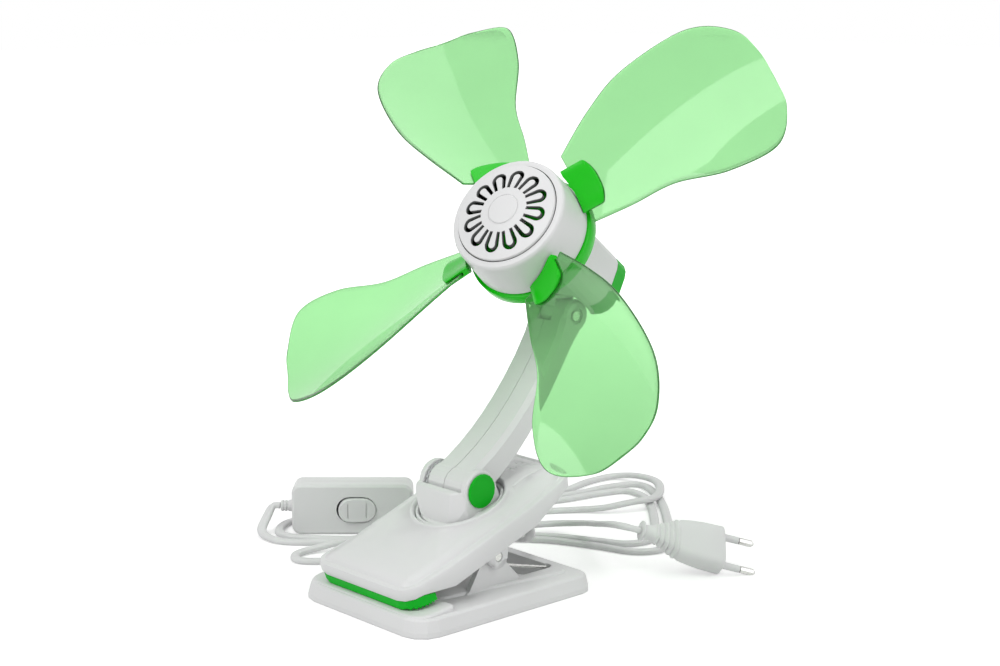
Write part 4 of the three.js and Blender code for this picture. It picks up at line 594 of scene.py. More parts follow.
# ---- camera, floor and light
@dataclass
class Studio:
    """Where the photographer stands, and the pale sweep and soft lamps."""

    lens: float = 69.12
    at: Colour = (0.7118, -0.6158, 0.3151)
    pitch: float = 10.8
    azimuth: float = 47.5
    middle: Vector = field(default_factory=lambda: Vector((0.0, 0.05, 0.13)))
    floor_half: float = 6.0
    near_glow: float = 0.42
    fade: Pair = (0.22, 0.8)
    sky_level: float = 0.37
    sensor: float = 36.0
    far_clip: float = 50.0
    lamps: tuple[tuple[str, float, float, float, float], ...] = (
        ("key_softbox", -46, 42, 10.2, 1.0), ("fill_softbox", 52, 34, 6.8, 1.3), ("top_softbox", 150, 70, 6.0, 1.2))

    def camera(self) -> None:
        """Set the camera at the photograph's viewpoint."""
        data = bpy.data.cameras.new("camera")
        data.lens = self.lens
        data.sensor_width = self.sensor
        data.clip_end = self.far_clip
        eye = bpy.data.objects.new("camera", data)
        eye.location = self.at
        eye.rotation_euler = (math.radians(90 - self.pitch), 0, math.radians(self.azimuth))
        bpy.context.scene.collection.objects.link(eye)
        bpy.context.scene.camera = eye

    def backdrop_share(self, nodes: bpy.types.Nodes, links: bpy.types.NodeLinks) -> Socket:
        """One for rays that see the backdrop straight on, by reflection or through clear plastic.

        Args:
            nodes: Nodes of the material or world.
            links: Its links.

        Returns:
            The factor.
        """
        path = nodes.new("ShaderNodeLightPath")
        total = path.outputs["Is Camera Ray"]
        for name in ("Is Glossy Ray", "Is Transmission Ray"):
            most = nodes.new("ShaderNodeMath")
            most.operation = "MAXIMUM"
            links.new(total, most.inputs[0])
            links.new(path.outputs[name], most.inputs[1])
            total = most.outputs[0]
        return total

    def floor(self) -> None:
        """Lay a pale floor that goes white away from the fan and keeps its shadow."""
        size = self.floor_half
        mesh = bpy.data.meshes.new("floor")
        mesh.from_pydata([(-size, -size, 0), (size, -size, 0), (size, size, 0), (-size, size, 0)], [], [(0, 1, 2, 3)])
        sweep = bpy.data.objects.new("floor", mesh)
        bpy.context.scene.collection.objects.link(sweep)
        graph = Graph("floor_paper")
        graph.set(Base_Color=graph.tint(graph.noise(8.0), (0.83, 0.83, 0.83), (0.85, 0.85, 0.85)), Roughness=0.9,
                  Specular_IOR_Level=0.0, Emission_Color=(1.0, 1.0, 1.0))
        reach = graph.add("VectorMath", {0: graph.where}, operation="LENGTH").outputs["Value"]
        glow = graph.spread(reach, self.near_glow, 1.0, self.fade[0], self.fade[1])
        share = self.backdrop_share(graph.nodes, graph.links)
        graph.set(Emission_Strength=graph.add("Math", {0: glow, 1: share}, operation="MULTIPLY").outputs[0])
        mesh.materials.append(graph.material)

    def sky(self) -> None:
        """Fill light from all round, seen as white."""
        world = bpy.data.worlds.new("sky")
        world.use_nodes = True
        bpy.context.scene.world = world
        nodes, links = world.node_tree.nodes, world.node_tree.links
        share = self.backdrop_share(nodes, links)
        level = nodes.new("ShaderNodeMapRange")
        level.inputs["To Min"].default_value = self.sky_level
        level.inputs["To Max"].default_value = 1.0
        links.new(share, level.inputs["Value"])
        links.new(level.outputs["Result"], nodes["Background"].inputs["Strength"])
        nodes["Background"].inputs["Color"].default_value = (1, 1, 1, 1)

    def lamp(self, name: str, azimuth: float, elevation: float, power: float, size: float, away: float = 1.5) -> None:
        """Hang a square soft box that looks at the fan.

        Args:
            name: Name of the lamp.
            azimuth: Side it stands on, turned from the camera's side, in degrees.
            elevation: Height above the horizon in degrees.
            power: Power in watts.
            size: Side of the box in metres.
            away: Distance in metres.
        """
        data = bpy.data.lights.new(name, "AREA")
        data.energy = power
        data.size = size
        box = bpy.data.objects.new(name, data)
        side = math.radians(azimuth - 90 + self.azimuth)
        rise = math.radians(elevation)
        toward = Vector((math.cos(side) * math.cos(rise), math.sin(side) * math.cos(rise), math.sin(rise)))
        box.location = self.middle + toward * away
        box.rotation_euler = toward.to_track_quat("Z", "Y").to_euler()
        bpy.context.scene.collection.objects.link(box)

    def set_up(self) -> None:
        """Stand the camera, floor and lamps."""
        bpy.context.scene.view_settings.view_transform = "Standard"
        self.camera()
        self.floor()
        self.sky()
        for lamp in self.lamps:
            self.lamp(*lamp)
        log.info("studio set")


# ---- flat lead, switch side and plug side
@dataclass
class Lead:
    """The flat two-core lead: its size, its route and its two runs."""

    width: float = 5.4
    thick: float = 3.3
    laid: float = 1.65
    layer: float = 5.4
    spacing: float = 1.8
    view: float = math.radians(47.5)
    relief_reach: float = 41.0
    loop_from: float = 228.0
    loop_to: float = 795.0
    loop_step: float = 15.75
    sides: int = 22
    waist_depth: float = 0.07
    waist_half: float = 1.1

    def ground(self, along: float, away: float, height: float) -> Vector:
        """Point from its run across the view, its run away from the viewer and its height."""
        c, s = math.cos(self.view), math.sin(self.view)
        return Vector((along * c - away * s, along * s + away * c, height))

    def switch_end(self, side: int, gap: float) -> Vector:
        """Point beyond the end of a strain relief of the switch."""
        return Place.SWITCH @ Vector((side * (self.relief_reach + gap), 0, 0))

    def loop_point(self, degrees: float) -> Vector:
        """Point on the eye-shaped loops, narrow in the middle and full at the right.

        Args:
            degrees: Angle wound so far.

        Returns:
            The point, lying on the floor.
        """
        turns = (degrees - 180) / 360
        u, v = math.cos(math.radians(degrees)), math.sin(math.radians(degrees))
        if u > 0:
            flare, lean, squeeze = 112 - 24 * turns, 11, 1.0
        else:
            flare, lean, squeeze = min(0.0, 10 * math.copysign(1, v)), 21, 0.97
        half = (38 - 7 * (turns - 0.25) + flare * abs(u)**2.5) * math.copysign(abs(v)**0.6, v)
        reach = (113.5 - 7 * (turns - 0.5)) * math.copysign(abs(u)**0.92, u) * squeeze
        return self.ground(9 + reach, 127 + lean * u + half, self.laid)

    def plug_route(self, plug: "Plug") -> list[Vector]:
        """Route from the switch round the coil to the plug.

        Args:
            plug: The plug it ends in.

        Returns:
            Points the lead passes through.
        """
        low, high = self.laid, self.layer
        start = [self.switch_end(-1, 0.3), self.switch_end(-1, 4), self.ground(-105.4, 108.2, 8.5),
                 self.ground(-107, 99, 3.2), self.ground(-96, 86, low)]
        count = int((self.loop_to - self.loop_from) / self.loop_step) + 1
        loops = [self.loop_point(self.loop_from + self.loop_step * k) for k in range(count)]
        over = [(16, 153, low), (-3, 150, 4.2), (-16, 155, high), (-20, 171, high), (-6, 180, 3), (18, 180, low),
                (44, 179, low), (64, 188, low), (82, 211, low), (97.5, 222, 2.2), (111, 215, 4.4), (122, 199, high),
                (123, 176, high), (117, 159, high), (104, 151, high), (88, 147, 3.2), (70, 148, low),
                (46, 143, low), (24, 127, low), (7, 113, 4), (-8, 102, high), (-32, 88, high), (-56, 75.5, high),
                (-72, 70, 2.8), (-83, 62, low), (-82, 51, low), (-68, 49, low), (-46, 57, low), (-20, 71, low),
                (-2, 78, low), (9, 79.4, 4.8), (18, 82, high), (31, 93, high), (43, 103, high), (58, 107, high),
                (70, 99, 8), (77, 80, 13.5), (79, 62, 18.5), (81, 45, 23.5), (86, 33, 26.8)]
        end = [plug.at - plug.along * 8, plug.at - plug.along * 0.3]
        return start + loops + [self.ground(*p) for p in over] + end

    def fan_route(self) -> list[Vector]:
        """Route from the gland under the jaw to the switch."""
        down = [Place.JAW @ Vector((0, 48, 9.2)), Place.JAW @ Vector((0, 48, 1.5))]
        across = [Vector(p) for p in ((-1, 57.5, 26), (-7, 64.5, 15.5), (-18, 68.5, 10.5), (-34, 73.5, 10),
                                      (-52, 76, 9.7), (-70, 73.5, 10.8))]
        return down + across + [self.switch_end(1, 5), self.switch_end(1, 0.3)]

    def section(self, at: Vector, along: Vector) -> Ring:
        """Flat oval section with a shallow waist between the two cores.

        Args:
            at: Centre of the section.
            along: Direction of the lead.

        Returns:
            The ring of points.
        """
        side = along.cross(Vector((0, 0, 1))).normalized()
        up = side.cross(along).normalized()
        ring = []
        for across, rise in oval(self.sides, self.width / 2, self.thick / 2, 0.72, 0.78):
            waist = 1 - self.waist_depth * max(0.0, 1 - abs(across) / self.waist_half)
            ring.append(at + side * across + up * (rise * waist))
        return ring

    def tube(self, name: str, route: Sequence[Vector]) -> tuple[Piece, list[Vector]]:
        """Draw the lead along a route in millimetres; gives the piece and its centre line."""
        line = centripetal(route, self.spacing)
        return piece_from(name, *lofted(list(map(self.section, line, headings(line)))), Place.WORLD, crease=60), line

    def build(self, plug: "Plug") -> None:
        """Lay both runs.

        Args:
            plug: The plug on the long run.
        """
        coil, line = self.tube("plug_lead", self.plug_route(plug))
        fitted(coil, CORD, Body.BASE, "cord_coil", "cord_plug_lead")
        short, line = self.tube("fan_lead", self.fan_route())
        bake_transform(short)
        dressed(short, CORD, "cord_drop", "cord_fan_lead")
        log.info("laid the lead")


@dataclass
class Plug:
    """Flat two-pin plug with a ribbed neck, its lower pin's tip on the floor and its neck raised."""

    at: Vector = field(default_factory=lambda: Vector((46.7, 93.4, 24.8)))
    along: Vector = field(default_factory=lambda: Vector((0.530, 0.799, -0.286)).normalized())
    across: Vector = field(default_factory=lambda: Vector((-0.558, 0.582, 0.591)))
    length: float = 46.0
    width: float = 26.0
    depth: float = 13.7
    pin_gap: float = 18.6
    pin_radius: float = 2.0
    sleeve: float = 10.0
    sleeve_wall: float = 0.45
    rib_count: int = 5
    rib_from: float = 8.0
    rib_step: float = 2.6
    rib_grow: float = 1.35
    rib_flat: float = 0.42
    pieces: list = field(default_factory=list)

    def place(self) -> Matrix:
        """The plug's own axes: X across its pins, Z towards them."""
        z = self.along
        x = (self.across - z * self.across.dot(z)).normalized()
        y = z.cross(x)
        return Matrix.Translation(self.at) @ Matrix((x, y, z)).transposed().to_4x4()

    def ring(self, height: float, half_x: float, half_y: float, power: float) -> Ring:
        """Rounded section at a height above the cord's end; a power of one is an ellipse, less is squarer."""
        return [Vector((x, y, height)) for x, y in oval(48, half_x, half_y, power, power)]

    def rings(self) -> list[Ring]:
        """Sections from the collar over the ribs to the pin face."""
        marks = [(0, 5.0, 4.6, 1), (0.5, 5.6, 5.2, 1), (1.2, 5.6, 5.2, 1), (1.6, 5.2, 4.8, 1), (1.9, 3.6, 3.4, 0.9),
                 (6, 4.0, 3.8, 0.85)]
        rib = ((-0.25, 4.8, 4.0, 0.75), (0, 5.0, 4.2, 0.75), (0.35, 5.5, 4.5, 0.73), (1.2, 5.6, 4.55, 0.72),
               (1.5, 5.3, 4.3, 0.72), (1.75, 4.9, 4.05, 0.72))
        for k in range(self.rib_count):
            z, grow = self.rib_from + k * self.rib_step, k * self.rib_grow
            marks += [(z + up, x + grow, y + grow * self.rib_flat, power) for up, x, y, power in rib]
        end, half_x, half_y = self.length, self.width / 2, self.depth / 2
        marks += [(22, 11.6, 6.2, 0.6), (28, 12.3, 6.5, 0.5), (end - 12, 12.8, 6.7, 0.45),
                  (end - 1, half_x, half_y, 0.42), (end - 0.5, half_x - 0.2, half_y - 0.2, 0.42),
                  (end - 0.12, half_x - 0.6, half_y - 0.6, 0.43), (end, half_x - 1.2, half_y - 1.2, 0.45)]
        return [self.ring(*mark) for mark in marks]

    def build(self) -> None:
        """Make the body with its two sleeves; the pins stay CAD nodes."""
        body = piece_from("plug_moulding", *lofted(self.rings()), self.place())
        sleeves, bores = [], []
        for side in (-1, 1):
            place = self.place() @ Matrix.Translation((side * self.pin_gap / 2, 0, self.length))
            r = self.pin_radius
            sleeves.append(piece_from("sleeve", *turned([(0, -1), (r, -1), (r, self.sleeve - 0.3),
                                                         (r - 0.3, self.sleeve), (0, self.sleeve)], 32), place))
            bores.append(peg("bore", r - self.sleeve_wall, -8, self.sleeve + 1, place, 32))
        body = carved(carved(body, sleeves, "UNION"), bores)
        self.pieces = [fitted(body, WHITE, Body.BASE, "plug_body"), "plug_pin_upper", "plug_pin_lower"]


# ---- rotor
@dataclass
class Rotor:
    """Blades, their carrier, the hub drum and its vented face."""

    phase: float = 36.9
    count: int = 4
    root: float = 38.0
    camber: float = 0.23
    camber_chord: float = 40.0
    plane: float = 54.6
    rise: float = 1.7
    droop: float = -4.1
    pitch: float = 29.1
    twist: float = -42.0
    ease: float = 22.0
    thick: float = 1.3
    leading: tuple[Pair, ...] = ((34, -13), (57, -15.4), (81, -16.8), (108.3, -26.3), (133.9, -26), (145.6, -6.2),
                                 (146.2, 11))
    trailing: tuple[Pair, ...] = ((34, 23.5), (57, 37), (81.4, 46.7), (117.6, 50.4), (138.6, 41), (145.4, 26),
                                  (146.2, 11))
    clasp_u: Pair = (31.2, 45.5)
    clasp_v: Pair = (-6.5, 17.5)
    clasp_thick: float = 5.2
    clasp_bow: float = 2.2
    ring_rear: float = 41.2
    ring_front: float = 48.0
    ring_outer: float = 34.5
    ring_wall: float = 3.2
    bore: float = 2.0
    boss: float = 6.5
    boss_front: float = 58.0
    face_z: float = 74.0
    face_edge: float = 27.08
    drum_front: float = 73.2
    drum_rear: float = 48.3
    drum_front_radius: float = 31.4
    drum_rear_radius: float = 32.6
    drum_wall: float = 1.8
    drum_mouth: float = 27.1
    vent_count: int = 12
    vent_inner: float = 12.6
    vent_outer: float = 23.4
    vent_slot: float = 2.15
    vent_half_inner: float = 2.9
    vent_half_outer: float = 4.0

    def phases(self) -> list[float]:
        """Angle of each blade round the axis, in degrees."""
        return [self.phase + 360 / self.count * k for k in range(self.count)]

    def off_axis(self, face: bpy.types.MeshPolygon) -> tuple[Vector, float]:
        """A face's way out from the axis, in metres, and how squarely it looks forward."""
        out = face.center - Place.ROTOR.translation * MM
        return out - Place.SPIN * out.dot(Place.SPIN), face.normal.dot(Place.SPIN)

    def blade_point(self, phase: float, u: float, v: float, offset: float) -> Vector:
        """Point on a pitched, twisted and cambered blade.

        Args:
            phase: Angle of the blade round the axis, in degrees.
            u: Distance from the axis.
            v: Distance along the chord.
            offset: Distance off the middle surface.

        Returns:
            The point in the rotor's axes.
        """
        out = (u - self.root) / 100
        beta = math.radians(self.pitch + self.twist * out + self.ease * out * out)
        lift = self.camber * v * v / self.camber_chord + offset
        across = v * math.cos(beta) - lift * math.sin(beta)
        plane = self.plane + self.rise * out + self.droop * out * out
        along = plane + v * math.sin(beta) + lift * math.cos(beta)
        c, s = math.cos(math.radians(phase)), math.sin(math.radians(phase))
        return Vector((u * c - across * s, u * s + across * c, along))

    def blade_sheet(self, phase: float, thick: float, start: float, end: float, span_steps: int, chord_steps: int,
                    widen: float = 0.0, rim: float = 0.35) -> tuple[list[Vector], list[list[int]], int]:
        """Closed blade with a softly rounded rim.

        Args:
            phase: Angle of the blade round the axis, in degrees.
            thick: Thickness.
            start: Where along the outline it starts.
            end: Where along the outline it ends.
            span_steps: Steps from root to tip.
            chord_steps: Steps across.
            widen: Share added beyond each side.
            rim: Share of the thickness at the very rim.

        Returns:
            The points, the faces and the number of faces before the rim's.
        """
        spans = [start + (end - start) * i / span_steps for i in range(span_steps + 1)]
        shares = [-widen + (1 + 2 * widen) * j / chord_steps for j in range(chord_steps + 1)]
        if rim < 1:
            middle = [0.012 + 0.976 * j / chord_steps for j in range(1, chord_steps)]
            shares = [0.0, 0.004, 0.012] + middle + [0.988, 0.996, 1.0]
            spans = spans[:-1] + [end - 0.004, end - 0.0015, end]
        last_row, last_col = len(spans) - 1, len(shares) - 1

        def fullness(i: int, j: int) -> float:
            """Share of the thickness at a grid point."""
            near = min(j, last_col - j, last_row - i)
            return {0: rim, 1: 0.5 + 0.5 * rim + 0.12}.get(near, 1.0) if rim < 1 else 1.0

        points = []
        for side in (0.5, -0.5):
            for i, t in enumerate(spans):
                a, b = flat_curve(self.leading, t), flat_curve(self.trailing, t)
                for j, k in enumerate(shares):
                    at = a.lerp(b, k) if 0 <= k <= 1 else a + (b - a) * k
                    points.append(self.blade_point(phase, at.x, at.y, side * thick * min(1.0, fullness(i, j))))
        cols, half = len(shares), len(spans) * len(shares)
        faces = []
        for i in range(last_row):
            for j in range(last_col):
                a = i * cols + j
                faces.append([a, a + cols, a + cols + 1, a + 1])
                faces.append([half + a, half + a + 1, half + a + cols + 1, half + a + cols])
        body_faces = len(faces)
        far = last_row * cols
        edge = [*range(last_col), *range(last_col, half - 1, cols), *range(half - 1, far, -1), *range(far, 0, -cols)]
        faces += [[a, b, half + b, half + a] for a, b in zip(edge, edge[1:] + edge[:1])]
        return points, faces, body_faces

    def blades(self) -> None:
        """Make the four translucent blades, each with a darker rim."""
        for number, phase in enumerate(self.phases(), 1):
            points, faces, body_faces = self.blade_sheet(phase, self.thick, 0.012, 0.985, 64, 24)
            blade = piece_from(f"blade_sheet_{number}", points, faces, Place.ROTOR, crease=50)
            fitted(blade, BLADE, Body.ROTOR, f"blade_{number}")
            finish_faces(blade, [BLADE_RIM], lambda face: int(face.index >= body_faces))

    def clasp(self, phase: float) -> Shape:
        """Thick pad that holds a blade's root.

        Args:
            phase: Angle of the blade round the axis, in degrees.

        Returns:
            The points and the faces.
        """
        v0, v1 = self.clasp_v
        steps = 20

        def ring(u: float, edge: float, full: float) -> Ring:
            """Section of the pad, bowed out in its middle.

            Args:
                u: Distance from the axis.
                edge: How far its sides are drawn in.
                full: Share of the thickness.

            Returns:
                The ring of points.
            """
            out = []
            for side in (1, -1):
                for i in range(steps + 1):
                    share = i / steps if side > 0 else 1 - i / steps
                    v = v0 + edge + (v1 - v0 - 2 * edge) * share
                    bow = 1 - abs(2 * share - 1)**2.6
                    taper = 1 - 0.35 * abs(2 * share - 1)**5
                    reach = u + (bow - 0.35) * self.clasp_bow * (u - u0) / (u1 - u0)
                    out.append(self.blade_point(phase, reach, v, side * self.clasp_thick / 2 * taper * full))
            return out

        u0, u1 = self.clasp_u
        return lofted([ring(u0, 0, 1), ring(u0 + 6, 0, 1), ring(u1 - 2.0, 0, 1), ring(u1 - 1.0, 0.3, 0.97),
                       ring(u1 - 0.35, 0.8, 0.88), ring(u1, 1.5, 0.74)])

    def carrier(self) -> None:
        """Make the ring, web and hub boss with a clasp for each blade."""
        rear, front, outer = self.ring_rear, self.ring_front, self.ring_outer
        inner = outer - self.ring_wall
        hole, boss, end = self.bore, self.boss, self.boss_front
        profile = [(hole, rear + 1), (boss, rear + 1), (boss, rear + 3.4), (inner, rear + 3.4), (inner, rear),
                   (outer - 0.6, rear), (outer - 0.18, rear + 0.18), (outer, rear + 0.6), (outer, front - 0.6),
                   (outer - 0.18, front - 0.18), (outer - 0.6, front), (inner, front), (inner, rear + 5.6),
                   (boss, rear + 5.6), (boss, end), (hole, end)]
        ring = piece_from("carrier_ring", *turned(profile), Place.ROTOR)
        phases = self.phases()
        pads = []
        for phase in phases:
            pad = piece_from("clasp", *self.clasp(phase), Place.ROTOR)
            pads.append(carved(pad, [peg("clear", self.drum_rear_radius + 0.3, front - 0.01, 90, Place.ROTOR)]))
        ring = carved(ring, pads, "UNION")
        pockets = [piece_from("pocket", *self.blade_sheet(phase, self.thick + 0.5, 0, 0.2, 14, 24, 0.02, 1)[:2],
                              Place.ROTOR) for phase in phases]
        fitted(carved(ring, pockets), CARRIER, Body.ROTOR, "blade_carrier")

    def drum(self) -> None:
        """Make the drum that the vented face closes."""
        r1, r0, wall, mouth = self.drum_front_radius, self.drum_rear_radius, self.drum_wall, self.drum_mouth
        front, rear = self.drum_front, self.drum_rear
        shelf = self.face_z - 2.2
        profile = [(r0 - wall, rear), (r0 - 0.2, rear), (r0, rear + 0.25), (r1 + 0.05, front - 4.6), (r1, front - 3.6),
                   (r1 - 0.1, front - 1.9), (r1 - 0.45, front - 1.0), (r1 - 1.05, front - 0.35),
                   (r1 - 1.8, front - 0.06), (mouth + 0.5, front), (mouth + 0.12, front - 0.08),
                   (mouth, front - 0.3), (mouth, shelf),
                   (mouth - 2.4, shelf), (mouth - 2.4, shelf - 1.6), (r1 - wall, shelf - 3.4)]
        drum = piece_from("drum", *turned(profile, 128), Place.ROTOR, crease=24)
        fitted(drum, WHITE, Body.ROTOR, "hub_drum")

        def inward(face: bpy.types.MeshPolygon) -> int:
            """One for faces of the mouth and behind it that look towards the axis; these get near-black painted shade.
            """
            out, _ = self.off_axis(face)
            return int(face.normal.dot(out) < 0 and out.length < (mouth + 4) * MM)

        # The inward faces of the white drum get near-black painted shade.
        finish_faces(drum, [INSIDE_PAINTED_SHADE], inward)

    def bulge(self, radius: float) -> float:
        """Height of the domed face at a radius."""
        return self.face_z + 0.4 + 3.5 * (1 - (radius / self.face_edge)**2)

    def vent_outline(self) -> list[Pair]:
        """Outline of a U-shaped slot that leaves a tongue joined at its inner end."""
        r, slot, inner = self.vent_half_outer, self.vent_slot, self.vent_inner
        mid = self.vent_outer - r
        steps = 14
        outer = [(mid + r * math.cos(a), r * math.sin(a))
                 for a in (-math.pi / 2 + math.pi * k / steps for k in range(steps + 1))]
        back = [(mid + (r - slot) * math.cos(a), (r - slot) * math.sin(a))
                for a in (math.pi / 2 - math.pi * k / steps for k in range(steps + 1))]
        foot = self.vent_half_inner - slot * 0.8
        return [(inner, -self.vent_half_inner), *outer, (inner, self.vent_half_inner), (inner, foot), *back,
                (inner, -foot)]

    def face(self) -> None:
        """Make the domed face with its ring of vents and raised centre disc."""
        edge, top = self.face_edge, self.bulge
        profile = [(0, top(0) + 0.35 - 2.4), (14, top(14) - 2), (20, top(20) - 2), (edge, self.face_z - 1.9),
                   (edge, self.face_z), (edge - 0.15, top(edge - 0.5) - 0.05), (edge - 0.5, top(edge - 0.5) + 0.1)]
        profile += [(r, top(r)) for r in (26, 25, 24, 23, 21, 19, 17, 15, 13, 11.5, 10, 8.9, 8.45)]
        profile += [(8.35, top(8.35) - 0.22), (8.15, top(8.15) - 0.22), (8.0, top(8) + 0.2), (7.7, top(7.7) + 0.35),
                    (6, top(6) + 0.35), (4, top(4) + 0.35), (2, top(2) + 0.35), (0, top(0) + 0.35)]
        disc = piece_from("vented_face", *turned(profile, 144), Place.ROTOR)
        vents = []
        for k in range(self.vent_count):
            place = Place.ROTOR @ turn("Z", 360 * k / self.vent_count)
            vents.append(piece_from("vent", *prism(self.vent_outline(), self.face_z - 5, self.face_z + 7), place))
        disc = fitted(carved(disc, vents, crease=26), WHITE, Body.ROTOR, "hub_face")

        def hidden(face: bpy.types.MeshPolygon) -> int:
            """Two for rear faces, near-black painted shade; one for the vents' walls, grey painted shade."""
            out, facing = self.off_axis(face)
            return 2 if facing < -0.3 else int(
                facing < 0.3 and self.vent_inner - 1 < out.length / MM < self.vent_outer + 1)

        # The vents' walls get grey painted shade and the face's rear near-black painted shade.
        finish_faces(disc, [VENT_WALL_PAINTED_SHADE, INSIDE_PAINTED_SHADE], hidden)

    def build(self) -> None:
        """Make the rotor's visible parts."""
        self.blades()
        self.carrier()
        self.drum()
        self.face()


# ---- jaw shell
@dataclass
class Jaw:
    """The jaw's shell with the soft line inside its edge, two panel lines and a few grip dots."""

    half_x: float = 37.5
    front: float = -60.6
    rear: float = 62.6
    corner_front: float = 10.0
    corner_rear: float = 17.0
    inset: float = 3.4
    line_radius: float = 0.9
    line_depth: float = 0.42
    panel_x: float = 19.2
    panel_y: Pair = (31.5, 55.5)
    dots: tuple[Pair, ...] = ((4.9, 52.6), (2.4, 50.6), (6.2, 46.8), (5.0, 44.2))
    dot_radius: float = 0.9
    dot_depth: float = 0.35
    above: float = 60.0
    line_step: float = 3.0

    def skin(self, x: float, y: float) -> tuple[Vector, Vector]:
        """Point and normal of the shell's outside over a place.

        Args:
            x: Place across the jaw.
            y: Place along the jaw.

        Returns:
            The point in millimetres and the normal, both in the world's axes.
        """
        down = Place.JAW.to_3x3() @ Vector((0, 0, -1))
        _, point, normal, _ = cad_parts["jaw_shell"].ray_cast(Place.JAW @ Vector((x, y, self.above)) * MM, down)
        return point / MM, normal

    def edge_line(self) -> list[Pair]:
        """Rounded outline inside the jaw's edge."""
        marks = ((1, 1, self.corner_rear, 0), (-1, 1, self.corner_rear, 90), (-1, -1, self.corner_front, 180),
                 (1, -1, self.corner_front, 270))
        out = []
        for sx, sy, corner, begin in marks:
            radius = corner - self.inset
            x = sx * (self.half_x - corner)
            y = self.rear - corner if sy > 0 else self.front + corner
            for k in range(9):
                a = math.radians(begin + 90 * k / 8)
                out.append((x + radius * math.cos(a), y + radius * math.sin(a)))
        fine = []
        for k, (x, y) in enumerate(out):
            next_x, next_y = out[(k + 1) % len(out)]
            steps = max(1, int(math.hypot(next_x - x, next_y - y) / self.line_step))
            fine += [(x + (next_x - x) * i / steps, y + (next_y - y) * i / steps) for i in range(steps)]
        return fine

    def furrow(self, route: Sequence[Pair], closed: bool) -> Piece:
        """Round cutter that runs along the skin.

        Args:
            route: Places it passes over.
            closed: Whether it ends where it starts.

        Returns:
            The cutter.
        """
        spots = [self.skin(x, y) for x, y in route]
        line = [point + normal * (self.line_radius - self.line_depth) for point, normal in spots]
        rings = []
        for at, along, (_, normal) in zip(line, headings(line, closed), spots):
            side = along.cross(normal).normalized()
            rings.append(hoop(at, side, side.cross(along), self.line_radius))
        points, faces = lofted(rings)
        if closed:
            sides = len(rings[0])
            last = len(points) - sides
            faces = faces[:-2] + [[last + j, last + (j + 1) % sides, (j + 1) % sides, j] for j in range(sides)]
        return piece_from("furrow", points, faces, Place.WORLD)

    def dimple(self, x: float, y: float) -> Piece:
        """Round cutter for one grip dot.

        Args:
            x: Place across the jaw.
            y: Place along the jaw.

        Returns:
            The cutter.
        """
        point, normal = self.skin(x, y)
        r = self.dot_radius
        arcs = [math.pi * k / 12 for k in range(1, 12)]
        profile = [(0, -r), *((r * math.sin(a), -r * math.cos(a)) for a in arcs), (0, r)]
        return piece_from("dimple", *turned(profile, 16), Matrix.Translation(point + normal * (r - self.dot_depth)))

    def build(self) -> None:
        """Cut the lines and dots in a copy of the CAD shell."""
        shell = bpy.data.objects.new("jaw_moulding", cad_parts["jaw_shell"].data.copy())
        bpy.context.scene.collection.objects.link(shell)
        near, far = self.panel_y
        panels = [[(side * self.panel_x, near + k * (far - near) / 10) for k in range(11)] for side in (-1, 1)]
        tools = [self.furrow(self.edge_line(), True), *(self.furrow(route, False) for route in panels),
                 *(self.dimple(x, y) for x, y in self.dots)]
        shell = carved(shell, tools, crease=30)
        custom = shell.data.attributes.get("custom_normal")
        if custom:
            shell.data.attributes.remove(custom)
        fitted(shell, WHITE, Body.JAW, "jaw_shell")


